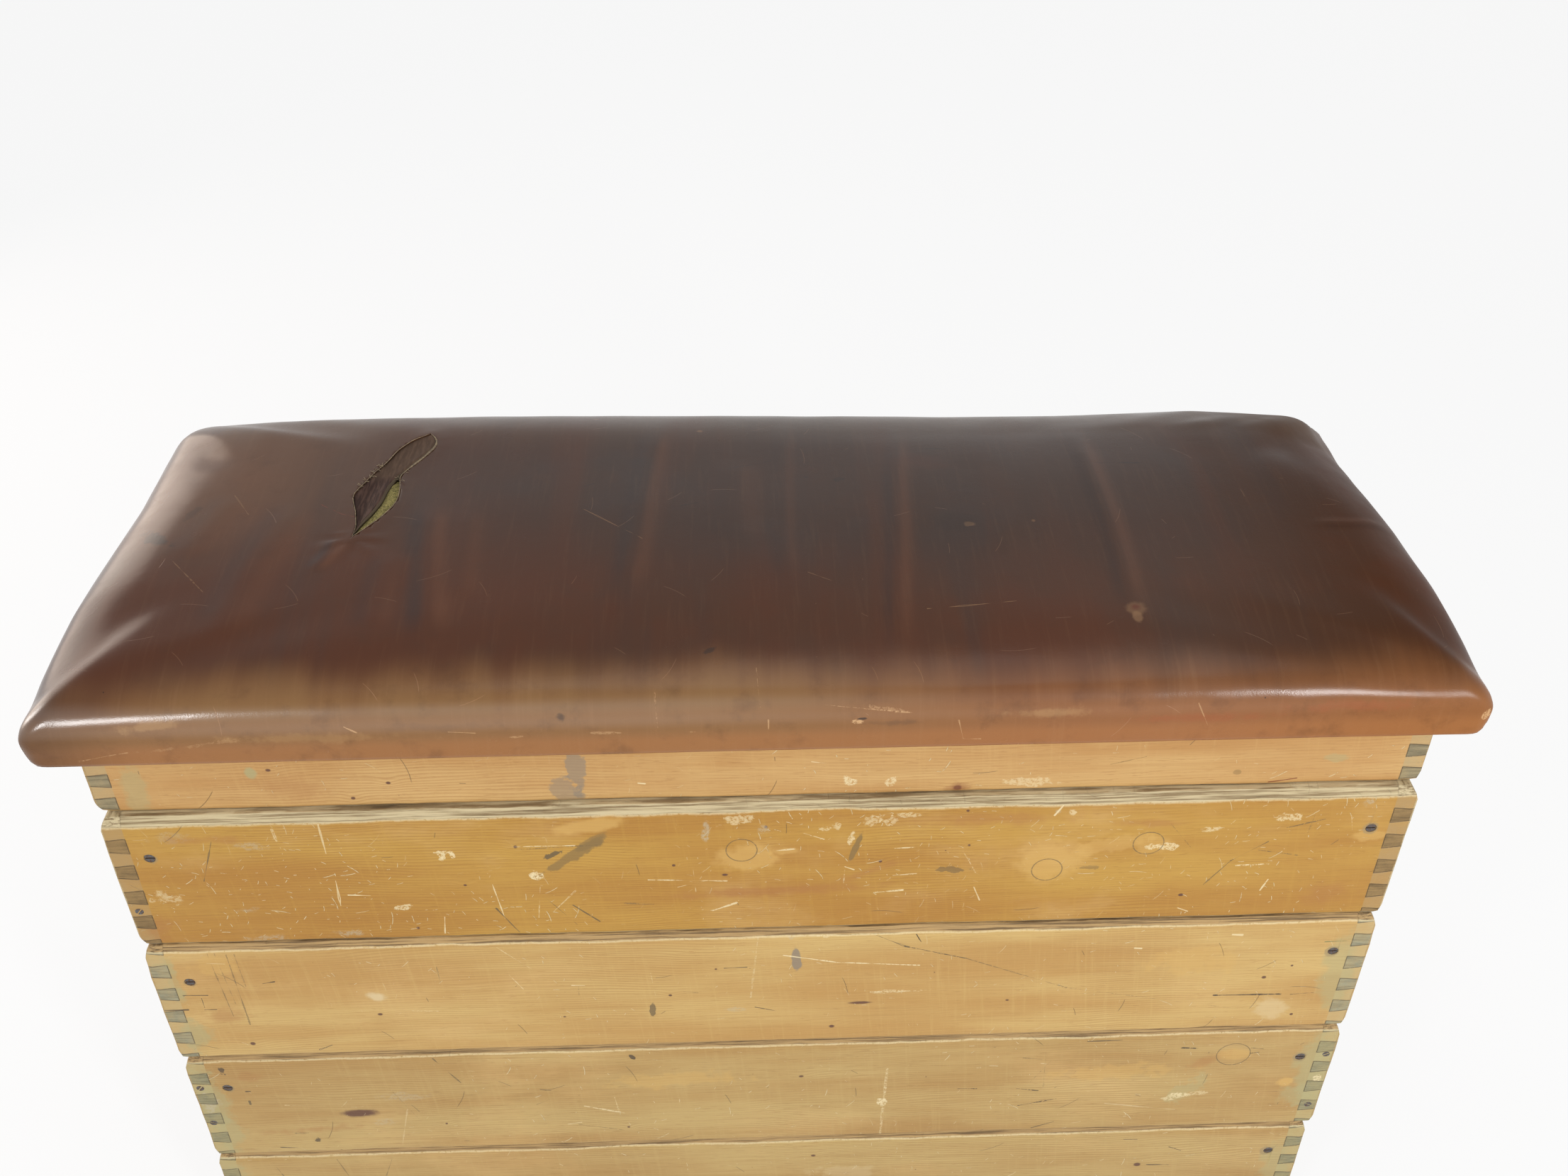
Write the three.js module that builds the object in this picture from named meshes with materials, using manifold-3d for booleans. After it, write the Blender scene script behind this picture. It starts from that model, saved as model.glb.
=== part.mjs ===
// A vaulting box: a stack of dovetailed pine frames under a padded leather top.
// Millimetres. X runs along the box, Y towards its rear, Z up. The origin is on the
// floor, below the middle of the padded top.
import * as THREE from "three";
import { mergeVertices } from "three/addons/utils/BufferGeometryUtils.js";
import Module from "manifold-3d";

const wasm = await Module();
wasm.setup();

// Frames
const frameLength = 1416;
const frameWidth = 500;
const frameHeight = 200;
const topFrameHeight = 99;
const boardThickness = 23;

// Dovetails at the corners: pins on the end boards, tails on the long boards
const dovetailPitch = 40;
const topDovetailPitch = 33;
const topPinFromFoot = 14;
const topPinFromHead = 19;
const pinRootShare = 0.55;
const pinTipShare = 0.44;
const jointGap = 0.15;

// Worn edges of each frame: how far the wear reaches in, and how high it reaches
const headWear = 5;
const headWearHeight = 9;
const footWear = 3;
const footWearHeight = 5;
const endWear = 8;
const endWearHeight = 17;
const endWearKneeShare = 0.3;

// Corner posts, which stand up into the frame above
const postWidth = 40;
const postFoot = 30;
const tongueHeight = 26;
const tonguePlay = 16;
const tongueTaper = 6;
const tongueTaperHeight = 14;

// Hand slots in the end boards
const slotLength = 120;
const slotHeight = 35;
const slotEndSteps = 8;

// Slotted countersunk screws that hold the long boards to the posts
const screwFromEnd = 42;
const screwFromTop = 59;
const screwHeadRadius = 6.3;
const screwHeadDepth = 4;
const screwShankRadius = 2.6;
const screwLength = 46;
const screwTipLength = 6;
const screwSunk = 0.6;
const screwSlotWidth = 1.7;
const screwSlotDepth = 1.6;
const screwGap = 0.15;
const screwSides = 12;

// How far each frame of the stack stands off the padded top, from the floor up
const frameNames = ["base", "section_4", "section_3", "section_2"];
const frameSlips = [
  { across: -3, forward: 14 },
  { across: 0, forward: 14 },
  { across: -1, forward: 14 },
  { across: 0, forward: 10 },
];

// Deck planks under the padding, and the battens below them
const deckOverhang = 25;
const deckThickness = 22;
const plankCount = 3;
const plankGap = 1;
const battenWidth = 60;
const battenThickness = 22;
const battenPlaceShare = 0.62;
const battenPlay = 0.5;

// Padding and leather
const edgeWadding = 10;
const leatherThickness = 2.5;
const leatherFit = 0.3;
const sideHeight = 33;
const sideDrawIn = 6;
const shoulderReach = 80;
const shoulderRise = 50;
const shoulderFullnessShare = 1.5;
const crownRise = 12;
const padCornerRadius = 16;
const turnUnder = 24;
const hemCornerRadius = 6;
const sideSteps = 2;
const shoulderSteps = 6;
const crownInsetShares = [0.36, 0.6, 0.84];
const cornerSteps = 4;
const longSideSteps = 6;
const shortSideSteps = 3;

const cutOverrun = 5;

const finishes = {
  pine: { color: 0xb98b45, roughness: 0.55, metalness: 0 },
  endPine: { color: 0xa9874f, roughness: 0.65, metalness: 0 },
  innerPine: { color: 0xc6a26a, roughness: 0.75, metalness: 0 },
  steel: { color: 0x55554f, roughness: 0.45, metalness: 0.9 },
  felt: { color: 0x8d8456, roughness: 0.95, metalness: 0 },
  leather: { color: 0x64402c, roughness: 0.4, metalness: 0 },
};

// Solids

function solidOf(geometry) {
  const bare = geometry.clone();
  bare.deleteAttribute("normal");
  bare.deleteAttribute("uv");
  const merged = mergeVertices(bare);
  return new wasm.Manifold(
    new wasm.Mesh({
      numProp: 3,
      vertProperties: new Float32Array(merged.getAttribute("position").array),
      triVerts: new Uint32Array(merged.index.array),
    }),
  );
}

function namedMesh(name, solid, finish) {
  const made = solid.getMesh();
  const geometry = new THREE.BufferGeometry();
  geometry.setAttribute("position", new THREE.BufferAttribute(made.vertProperties, made.numProp));
  geometry.setIndex(new THREE.BufferAttribute(made.triVerts, 1));
  geometry.computeVertexNormals();
  const material = new THREE.MeshStandardMaterial({ ...finish, flatShading: true });
  const mesh = new THREE.Mesh(geometry, material);
  mesh.name = name;
  return mesh;
}

// A box between two corners
function block(low, high) {
  const geometry = new THREE.BoxGeometry(high[0] - low[0], high[1] - low[1], high[2] - low[2]);
  geometry.translate((low[0] + high[0]) / 2, (low[1] + high[1]) / 2, (low[2] + high[2]) / 2);
  return solidOf(geometry);
}

// A prism whose outline lies in X and Z, from one Y to another
function prismAlongY(points, fromY, toY) {
  const shape = new THREE.Shape(points.map(([x, z]) => new THREE.Vector2(x, z)));
  const geometry = new THREE.ExtrudeGeometry(shape, { depth: toY - fromY, bevelEnabled: false });
  geometry.rotateX(Math.PI / 2);
  geometry.translate(0, toY, 0);
  return solidOf(geometry);
}

// A closed skin over loops of equally many points, with a fan at either end
function loft(loops) {
  const around = loops[0].length;
  const corners = loops.flat();
  const faces = [];
  for (let ring = 0; ring + 1 < loops.length; ring += 1) {
    for (let i = 0; i < around; i += 1) {
      const next = (i + 1) % around;
      const a = ring * around + i;
      const b = ring * around + next;
      const c = (ring + 1) * around + next;
      const d = (ring + 1) * around + i;
      faces.push(a, b, c, a, c, d);
    }
  }
  const centreOf = (loop) =>
    loop.reduce((sum, p) => sum.add(p), new THREE.Vector3()).divideScalar(loop.length);
  const first = corners.length;
  corners.push(centreOf(loops[0]));
  const last = corners.length;
  corners.push(centreOf(loops[loops.length - 1]));
  const lastRing = (loops.length - 1) * around;
  for (let i = 0; i < around; i += 1) {
    const next = (i + 1) % around;
    faces.push(first, next, i);
    faces.push(last, lastRing + i, lastRing + next);
  }
  const geometry = new THREE.BufferGeometry();
  geometry.setAttribute(
    "position",
    new THREE.Float32BufferAttribute(
      corners.flatMap((p) => [p.x, p.y, p.z]),
      3,
    ),
  );
  geometry.setIndex(faces);
  return solidOf(geometry);
}

function rectangle(halfLength, halfWidth, z) {
  return [
    new THREE.Vector3(-halfLength, -halfWidth, z),
    new THREE.Vector3(halfLength, -halfWidth, z),
    new THREE.Vector3(halfLength, halfWidth, z),
    new THREE.Vector3(-halfLength, halfWidth, z),
  ];
}

// Wooden frames

// A frame of the stack has a worn head, posts, screws, and a half pin at its foot and head.
// The top frame has none of them.
const fullFrame = {
  height: frameHeight,
  pinPitch: dovetailPitch,
  lowestPin: 0,
  highestPin: frameHeight,
  stacked: true,
};
const topFrame = {
  height: topFrameHeight,
  pinPitch: topDovetailPitch,
  lowestPin: topPinFromFoot,
  highestPin: topFrameHeight - topPinFromHead,
  stacked: false,
};

// The outer block that a frame's worn edges lie on
function wornBlock({ height, stacked }) {
  const knee = endWear * endWearKneeShare;
  const ring = (z, end, face) => rectangle(frameLength / 2 - end, frameWidth / 2 - face, z);
  const rings = [ring(0, endWear, footWear)];
  rings.push(ring(footWearHeight, knee, 0));
  rings.push(ring(endWearHeight, 0, 0));
  if (stacked) {
    rings.push(ring(height - endWearHeight, 0, 0));
    rings.push(ring(height - headWearHeight, knee, 0));
    rings.push(ring(height, endWear, headWear));
  } else {
    rings.push(ring(height, 0, 0));
  }
  return loft(rings);
}

// Outlines of the pins at one end of a frame; a pin at either edge is cut in half later
function pinOutlines({ pinPitch, lowestPin, highestPin }, side, gap) {
  const span = highestPin - lowestPin;
  const spaces = Math.max(1, Math.round(span / pinPitch));
  const pitch = span / spaces;
  const root = (pitch * pinRootShare) / 2 + gap;
  const tip = (pitch * pinTipShare) / 2 + gap;
  const rootX = frameLength / 2 - boardThickness - gap;
  const tipX = frameLength / 2 + (gap > 0 ? cutOverrun : 0);
  const flare = (root - tip) / boardThickness;
  const far = tip - flare * (tipX - frameLength / 2);
  const outlines = [];
  for (let k = 0; k <= spaces; k += 1) {
    const z = lowestPin + k * pitch;
    outlines.push([
      [side * rootX, z - root],
      [side * tipX, z - far],
      [side * tipX, z + far],
      [side * rootX, z + root],
    ]);
  }
  return outlines;
}

function screwProfile(gap) {
  const headY = -screwSunk;
  const outside = gap > 0 ? cutOverrun : headY;
  const points = [[0, outside]];
  points.push([screwHeadRadius + gap, outside]);
  if (gap > 0) {
    points.push([screwHeadRadius + gap, headY]);
  }
  points.push([screwShankRadius + gap, headY - screwHeadDepth]);
  points.push([screwShankRadius + gap, headY - screwLength + screwTipLength]);
  points.push([0, headY - screwLength - gap]);
  return points.reverse().map(([r, y]) => new THREE.Vector2(r, y));
}

// A screw, or with a gap the hole for one, driven in from the face at sideY
function screwSolid(x, sideY, z, gap) {
  const geometry = new THREE.LatheGeometry(screwProfile(gap), screwSides);
  geometry.rotateX(sideY < 0 ? Math.PI : 0);
  geometry.translate(x, (sideY * frameWidth) / 2, z);
  return solidOf(geometry);
}

function slottedScrew(x, sideY, z) {
  const face = (sideY * frameWidth) / 2;
  const bottom = face - sideY * (screwSunk + screwSlotDepth);
  const outside = face + sideY * cutOverrun;
  const slot = block(
    [x - screwHeadRadius - cutOverrun, Math.min(bottom, outside), z - screwSlotWidth / 2],
    [x + screwHeadRadius + cutOverrun, Math.max(bottom, outside), z + screwSlotWidth / 2],
  );
  return screwSolid(x, sideY, z, 0).subtract(slot);
}

const corners = [
  { label: "front_left", sideX: -1, sideY: -1 },
  { label: "front_right", sideX: 1, sideY: -1 },
  { label: "rear_left", sideX: -1, sideY: 1 },
  { label: "rear_right", sideX: 1, sideY: 1 },
];

function screwPlace(corner, height) {
  return [corner.sideX * (frameLength / 2 - screwFromEnd), height - screwFromTop];
}

function longBoard(frame, sideY, worn) {
  const outer = (sideY * frameWidth) / 2;
  const inner = outer - sideY * boardThickness;
  const low = Math.min(outer, inner);
  const high = Math.max(outer, inner);
  let board = block([-frameLength / 2, low, 0], [frameLength / 2, high, frame.height]);
  for (const side of [-1, 1]) {
    for (const outline of pinOutlines(frame, side, jointGap)) {
      board = board.subtract(prismAlongY(outline, low - cutOverrun, high + cutOverrun));
    }
  }
  if (frame.stacked) {
    for (const corner of corners.filter((c) => c.sideY === sideY)) {
      const [x, z] = screwPlace(corner, frame.height);
      board = board.subtract(screwSolid(x, sideY, z, screwGap));
    }
  }
  return board.intersect(worn);
}

function handSlot(height) {
  const straight = (slotLength - slotHeight) / 2;
  const radius = slotHeight / 2;
  const shape = new THREE.Shape();
  shape.absarc(straight, height / 2, radius, -Math.PI / 2, Math.PI / 2, false);
  shape.absarc(-straight, height / 2, radius, Math.PI / 2, (3 * Math.PI) / 2, false);
  const depth = boardThickness + 2 * cutOverrun;
  const settings = { depth, bevelEnabled: false, curveSegments: slotEndSteps };
  const geometry = new THREE.ExtrudeGeometry(shape, settings);
  geometry.rotateX(Math.PI / 2);
  geometry.rotateZ(Math.PI / 2);
  geometry.translate(-cutOverrun, 0, 0);
  return geometry;
}

function endBoard(frame, sideX, worn) {
  const outer = (sideX * frameLength) / 2;
  const inner = outer - sideX * boardThickness;
  const low = Math.min(outer, inner);
  const high = Math.max(outer, inner);
  const halfPlate = frameWidth / 2 - boardThickness;
  let board = block([low, -halfPlate, 0], [high, halfPlate, frame.height]);
  for (const outline of pinOutlines(frame, sideX, 0)) {
    board = board.add(prismAlongY(outline, -frameWidth / 2, frameWidth / 2));
  }
  const slot = handSlot(frame.height);
  slot.translate(low, 0, 0);
  return board.intersect(worn).subtract(solidOf(slot));
}

// A post in one corner, with a tapered tongue that stands up into the frame above
function cornerPost(corner, height, foot) {
  const { sideX, sideY } = corner;
  const outerX = frameLength / 2 - boardThickness;
  const outerY = frameWidth / 2 - boardThickness;
  const span = (outer, side, outset, inset) => {
    const a = side * (outer - outset);
    const b = side * (outer - postWidth + inset);
    return [Math.min(a, b), Math.max(a, b)];
  };
  const [lowX, highX] = span(outerX, sideX, 0, 0);
  const [lowY, highY] = span(outerY, sideY, 0, 0);
  const foundation = block([lowX, lowY, foot], [highX, highY, height]);
  const ring = (z, outset, inset) => {
    const [x0, x1] = span(outerX, sideX, outset, inset);
    const [y0, y1] = span(outerY, sideY, outset, inset);
    return [
      new THREE.Vector3(x0, y0, z),
      new THREE.Vector3(x1, y0, z),
      new THREE.Vector3(x1, y1, z),
      new THREE.Vector3(x0, y1, z),
    ];
  };
  const tongue = loft([
    ring(height - tongueTaperHeight, tonguePlay, 0),
    ring(height + tongueHeight - tongueTaperHeight, tonguePlay, 0),
    ring(height + tongueHeight, tonguePlay + tongueTaper, tongueTaper),
  ]);
  const [x, z] = screwPlace(corner, height);
  return foundation.add(tongue).subtract(screwSolid(x, sideY, z, screwGap));
}

function frameBoards(name, frame) {
  const worn = wornBlock(frame);
  return [
    namedMesh(name + "_front_board", longBoard(frame, -1, worn), finishes.pine),
    namedMesh(name + "_rear_board", longBoard(frame, 1, worn), finishes.pine),
    namedMesh(name + "_left_end_board", endBoard(frame, -1, worn), finishes.endPine),
    namedMesh(name + "_right_end_board", endBoard(frame, 1, worn), finishes.endPine),
  ];
}

function stackedFrame(name, level) {
  const group = new THREE.Group();
  group.add(...frameBoards(name, fullFrame));
  const foot = level === 0 ? 0 : postFoot;
  for (const corner of corners) {
    const [x, z] = screwPlace(corner, frameHeight);
    const post = cornerPost(corner, frameHeight, foot);
    const screw = slottedScrew(x, corner.sideY, z);
    group.add(namedMesh(name + "_" + corner.label + "_post", post, finishes.innerPine));
    group.add(namedMesh(name + "_" + corner.label + "_screw", screw, finishes.steel));
  }
  const slip = frameSlips[level];
  group.position.set(slip.across, -slip.forward, level * frameHeight);
  return group;
}

// Padded top

const deckHalfLength = frameLength / 2 + deckOverhang;
const deckHalfWidth = frameWidth / 2 + deckOverhang;
const padOutset = edgeWadding + leatherFit + leatherThickness;
const padHalfLength = deckHalfLength + padOutset;
const padHalfWidth = deckHalfWidth + padOutset;
const deckTop = topFrameHeight + deckThickness;
const leatherBottom = topFrameHeight - leatherFit - leatherThickness;
const widestZ = leatherBottom + leatherFit + leatherThickness + sideHeight;

// A loop with long straight sides and rounded corners
function roundedLoop(halfLength, halfWidth, radius, z) {
  const x = halfLength - radius;
  const y = halfWidth - radius;
  const centres = [
    [x, y],
    [-x, y],
    [-x, -y],
    [x, -y],
  ];
  const onCorner = (corner, turn) => {
    const [cx, cy] = centres[corner % centres.length];
    return new THREE.Vector3(cx + radius * Math.cos(turn), cy + radius * Math.sin(turn), z);
  };
  const points = [];
  centres.forEach((centre, corner) => {
    for (let step = 0; step <= cornerSteps; step += 1) {
      points.push(onCorner(corner, ((corner + step / cornerSteps) * Math.PI) / 2));
    }
    const turn = ((corner + 1) * Math.PI) / 2;
    const from = onCorner(corner, turn);
    const to = onCorner(corner + 1, turn);
    const steps = corner % 2 === 0 ? longSideSteps : shortSideSteps;
    for (let step = 1; step < steps; step += 1) {
      points.push(new THREE.Vector3().lerpVectors(from, to, step / steps));
    }
  });
  return points;
}

// The outline of the deck, which the planks share, as one slab
function deckSlab(gap, bottom) {
  const radius = padCornerRadius - padOutset + gap;
  const loop = (z) => roundedLoop(deckHalfLength + gap, deckHalfWidth + gap, radius, z);
  return loft([loop(bottom), loop(deckTop)]);
}

function deckPlank(index) {
  const width = (2 * deckHalfWidth - (plankCount - 1) * plankGap) / plankCount;
  const y = -deckHalfWidth + index * (width + plankGap);
  const plank = block([-deckHalfLength, y, topFrameHeight], [deckHalfLength, y + width, deckTop]);
  return plank.intersect(deckSlab(0, topFrameHeight));
}

function batten(side) {
  const x = (side * battenPlaceShare * frameLength) / 2;
  const halfLength = frameWidth / 2 - boardThickness - battenPlay;
  return block(
    [x - battenWidth / 2, -halfLength, topFrameHeight - battenThickness],
    [x + battenWidth / 2, halfLength, topFrameHeight],
  );
}

// The pad's outer profile from its lower corner to the crown, as inset and height
function padProfile() {
  const crown = (inset) => crownRise * (1 - (1 - inset / padHalfWidth) ** 2);
  const points = [];
  for (let step = 0; step < sideSteps; step += 1) {
    const down = 1 - step / sideSteps;
    const inset = sideDrawIn * down ** 2;
    points.push([inset, widestZ - (widestZ - leatherBottom) * down + crown(inset)]);
  }
  for (let step = 0; step <= shoulderSteps; step += 1) {
    const turn = (step / shoulderSteps) * (Math.PI / 2);
    const inset = shoulderReach * (1 - Math.cos(turn)) ** shoulderFullnessShare;
    points.push([inset, widestZ + shoulderRise * Math.sin(turn) + crown(inset)]);
  }
  for (const share of crownInsetShares) {
    const inset = share * padHalfWidth;
    points.push([inset, widestZ + shoulderRise + crown(inset)]);
  }
  return points;
}

// The profile moved inwards, square to itself
function sunkProfile(depth) {
  const points = padProfile();
  return points.map(([inset, z], i) => {
    const before = points[Math.max(i - 1, 0)];
    const after = points[Math.min(i + 1, points.length - 1)];
    const along = new THREE.Vector2(after[0] - before[0], after[1] - before[1]).normalize();
    return [inset + along.y * depth, z - along.x * depth];
  });
}

// The sunk profile from one height upwards, cut level at that height
function sunkProfileFrom(z, depth) {
  const points = sunkProfile(depth);
  const above = points.findIndex((point) => point[1] > z);
  const [lowInset, lowZ] = points[above - 1];
  const [highInset, highZ] = points[above];
  const inset = lowInset + ((highInset - lowInset) * (z - lowZ)) / (highZ - lowZ);
  return [[inset, z], ...points.slice(above)];
}

// A loop round the pad at one inset
function padLoop(inset, z, cornerRadius) {
  const halfWidth = padHalfWidth - inset;
  const radius = Math.min(cornerRadius, halfWidth / 2);
  return roundedLoop(padHalfLength - inset, halfWidth, radius, z);
}

function padding() {
  const profile = sunkProfileFrom(topFrameHeight, leatherThickness + leatherFit);
  const whole = loft(profile.map(([inset, z]) => padLoop(inset, z, padCornerRadius)));
  return whole.subtract(deckSlab(leatherFit, 0));
}

function leatherCover() {
  const hem = sideDrawIn + turnUnder;
  const hemTop = leatherBottom + leatherThickness;
  const lining = sunkProfileFrom(hemTop, leatherThickness);
  const pad = (points) => points.map(([inset, z]) => padLoop(inset, z, padCornerRadius));
  const hemLoop = (z) => padLoop(hem, z, hemCornerRadius);
  const inside = [hemLoop(hemTop), ...pad(lining)];
  return loft([...inside.reverse(), hemLoop(leatherBottom), ...pad(padProfile())]);
}

function paddedTop() {
  const group = new THREE.Group();
  group.add(...frameBoards("top", topFrame));
  for (let index = 0; index < plankCount; index += 1) {
    group.add(namedMesh("deck_plank_" + (index + 1), deckPlank(index), finishes.innerPine));
  }
  group.add(namedMesh("deck_batten_left", batten(-1), finishes.innerPine));
  group.add(namedMesh("deck_batten_right", batten(1), finishes.innerPine));
  group.add(namedMesh("padding", padding(), finishes.felt));
  group.add(namedMesh("leather_cover", leatherCover(), finishes.leather));
  group.position.z = frameNames.length * frameHeight;
  return group;
}

const vaultingBox = new THREE.Group();
frameNames.forEach((name, level) => vaultingBox.add(stackedFrame(name, level)));
vaultingBox.add(paddedTop());

export default vaultingBox;
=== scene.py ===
"""Vaulting box: the looks of a worn pine box of five frames under a padded leather top."""

import math

import bmesh
import bpy
import numpy as np
from mathutils import Matrix, Vector, noise


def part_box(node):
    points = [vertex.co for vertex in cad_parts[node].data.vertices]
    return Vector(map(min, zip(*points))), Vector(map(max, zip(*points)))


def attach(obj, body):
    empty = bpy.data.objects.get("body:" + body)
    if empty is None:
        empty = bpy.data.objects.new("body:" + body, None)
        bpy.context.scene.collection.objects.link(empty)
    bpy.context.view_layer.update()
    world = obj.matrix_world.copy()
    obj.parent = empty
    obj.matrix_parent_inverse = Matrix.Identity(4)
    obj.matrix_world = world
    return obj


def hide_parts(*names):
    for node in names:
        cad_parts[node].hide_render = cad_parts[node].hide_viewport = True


bl_info = {
    "name": "Worn Vaulting Box",
    "version": (1, 0, 0),
    "blender": (4, 5, 0),
    "location": "View3D > Sidebar > Vaulting Box",
    "description": "Dresses a packed vaulting box in worn pine and tired leather",
    "category": "Object",
}

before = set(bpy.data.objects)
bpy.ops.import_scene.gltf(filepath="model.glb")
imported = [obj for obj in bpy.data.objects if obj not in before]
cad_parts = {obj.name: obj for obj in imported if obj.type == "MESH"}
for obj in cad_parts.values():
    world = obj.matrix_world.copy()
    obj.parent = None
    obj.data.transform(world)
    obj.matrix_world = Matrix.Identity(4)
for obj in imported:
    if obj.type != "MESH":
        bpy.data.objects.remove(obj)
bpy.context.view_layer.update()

SECTIONS = ("base", "section_4", "section_3", "section_2")
TOP = "top"
ENDS = ("left", "right")
MM = 0.001


def body_of(section):
    return section + "_section" if section in ("base", TOP) else section


def section_box(section):
    """The box round the four boards of one frame."""
    left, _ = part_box(section + "_left_end_board")
    _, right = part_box(section + "_right_end_board")
    return left, right


def paint(red, green, blue):
    """A colour as a screen shows it, 0 to 255, in Blender's linear values."""

    def linear(value):
        share = value / 255
        return share / 12.92 if share <= 0.04045 else ((share + 0.055) / 1.055) ** 2.4

    return (linear(red), linear(green), linear(blue))


def clamped(value):
    """The value, kept between 0 and 1."""
    return max(0.0, min(1.0, value))


# Meshes and objects


def mesh_of(name, points, faces, edges=()):
    mesh = bpy.data.meshes.new(name)
    mesh.from_pydata(points, edges, faces)
    mesh.update()
    return mesh


def mesh_from(bm, name):
    """The mesh of an edit mesh, which is freed."""
    mesh = bpy.data.meshes.new(name)
    bm.to_mesh(mesh)
    bm.free()
    return mesh


def turned_out(mesh, weld=None):
    """The mesh with its faces turned outwards, and points nearer than the weld joined."""
    bm = bmesh.new()
    bm.from_mesh(mesh)
    if weld:
        bmesh.ops.remove_doubles(bm, verts=bm.verts, dist=weld)
    bmesh.ops.recalc_face_normals(bm, faces=bm.faces)
    bm.to_mesh(mesh)
    bm.free()
    return mesh


def in_scene(name, data):
    """A new object with the given data, in the scene's collection."""
    made = bpy.data.objects.new(name, data)
    bpy.context.scene.collection.objects.link(made)
    return made


def cut_away(piece, mesh):
    """Cuts the form of a mesh out of a piece."""
    cutter = in_scene(mesh.name, mesh)
    cut = piece.modifiers.new("Cut", "BOOLEAN")
    cut.operation = "DIFFERENCE"
    cut.object = cutter
    apply_modifiers(piece)
    bpy.data.objects.remove(cutter)


def apply_modifiers(piece):
    """Replaces a piece's mesh by its evaluated one and drops the modifiers."""
    bpy.context.view_layer.update()
    shown = piece.evaluated_get(bpy.context.evaluated_depsgraph_get())
    mesh = bpy.data.meshes.new_from_object(shown)
    old = piece.data
    piece.modifiers.clear()
    piece.data = mesh
    mesh.name = old.name
    bpy.data.meshes.remove(old)
    return mesh


def add_piece(name, mesh, material):
    piece = in_scene(name, mesh)
    mesh.materials.clear()
    mesh.materials.append(material)
    mesh.polygons.foreach_set("use_smooth", [True] * len(mesh.polygons))
    return piece


def finish_piece(piece, body, slot, *nodes):
    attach(piece, body)
    if nodes:
        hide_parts(*nodes)


# Settings


def size(name, description, default, low=0.0, high=10.0):
    return bpy.props.FloatProperty(
        name=name, description=description, default=default, min=low, max=high, unit="LENGTH"
    )


def colour(name, description, default):
    return bpy.props.FloatVectorProperty(
        name=name, description=description, default=default, subtype="COLOR", min=0, max=1
    )


class TimberSettings(bpy.types.PropertyGroup):
    cut_step: size("Cut Step", "Spacing of the cuts that let a board's edge wear", 0.006)
    bite_depth: size("Bite Depth", "How far worn edges are eaten back", 0.0018)
    bite_reach: size("Bite Reach", "How far below an edge the wear reaches", 0.017)
    skin_depth: size("Skin Depth", "How deep into a board the wear reaches", 0.011)
    honey: colour("Honey", "Pine of the top frame", paint(192, 150, 92))
    amber: colour("Amber", "Pine of the second frame", paint(178, 134, 54))
    straw: colour("Straw", "Pine of the third frame", paint(192, 157, 95))
    tan: colour("Tan", "Pine of the two lowest frames", paint(180, 149, 92))
    bare: colour("Bare Wood", "Wood where the varnish is worn away", paint(204, 188, 150))
    inner: colour("Inner Wood", "Unvarnished wood inside the box", paint(196, 164, 116))
    # This colour also paints the shadow along the foot of each board
    grime: colour("Grime", "Dirt in the seams", paint(62, 48, 32))
    dent: colour("Dent", "Dark rubbed marks", paint(86, 72, 48))
    # This colour also paints the highlight line along the worn arris under each frame's head
    chalk_and_glint: colour("Chalk", "Pale scratches", paint(222, 204, 160))


class LeatherSettings(bpy.types.PropertyGroup):
    mesh_step: size("Mesh Step", "Spacing of the leather's points before smoothing", 0.011)
    side_height: size("Side Height", "Height of the upright side", 0.033)
    side_draw_in: size("Side Draw In", "How far the side draws in at its foot", 0.004)
    shoulder_reach: size("Shoulder Reach", "How far in the rounded shoulder reaches", 0.080)
    shoulder_rise: size("Shoulder Rise", "Height of the rounded shoulder", 0.050)
    shoulder_fullness: bpy.props.FloatProperty(
        name="Shoulder Fullness", description="How square the shoulder is", default=1.5, min=1
    )
    end_fullness: bpy.props.FloatProperty(
        name="End Fullness", description="How square the shoulder is at the ends", default=1, min=1
    )
    crown_rise: size("Crown Rise", "Height of the gentle crown", 0.012)
    corner_radius: size("Corner Radius", "Radius of the corners seen from above", 0.013)
    foot_radius: size("Foot Radius", "Radius of the corners at the foot", 0.011)
    rear_rounding: bpy.props.FloatProperty(
        name="Rear Rounding", description="How much rounder the rear corners are", default=2.4
    )
    turn_under: size("Turn Under", "Width of the leather turned under the deck", 0.024)
    hem_radius: size("Hem Radius", "Corner radius at the edge turned under", 0.006)
    thickness: size("Thickness", "Thickness of the leather", 0.0025)
    fit: size("Fit", "Room between leather, felt and deck", 0.0003)
    felt_gap: size("Felt Gap", "Room between the leather and the felt", 0.005)
    swell_cap: size("Swell Cap", "The most that the simulation may move a point", 0.005)
    flap_thickness: size("Flap Thickness", "Thickness of the torn flap", 0.0022)
    mid: colour("Leather", "Most of the leather", paint(69, 43, 28))
    red: colour("Red Leather", "Warm streaks", paint(77, 41, 22))
    dark: colour("Dark Leather", "The handled middle", paint(57, 39, 30))
    olive: colour("Olive Leather", "The front shoulder", paint(128, 98, 62))
    tan: colour("Tan Leather", "The front side", paint(140, 92, 56))
    foot: colour("Leather Foot", "The lowest strip of the front side", paint(160, 106, 62))
    # Painted reflection: the grey sheen of grazing light on the rear of the top
    dust_and_sheen: colour("Sheened Leather", "The rear of the top", paint(98, 80, 64))
    cut_edge: colour("Cut Edge", "The edge of the leather at the tear", paint(104, 90, 74))
    felt: colour("Felt", "Felt under the tear", paint(186, 170, 104))


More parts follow.
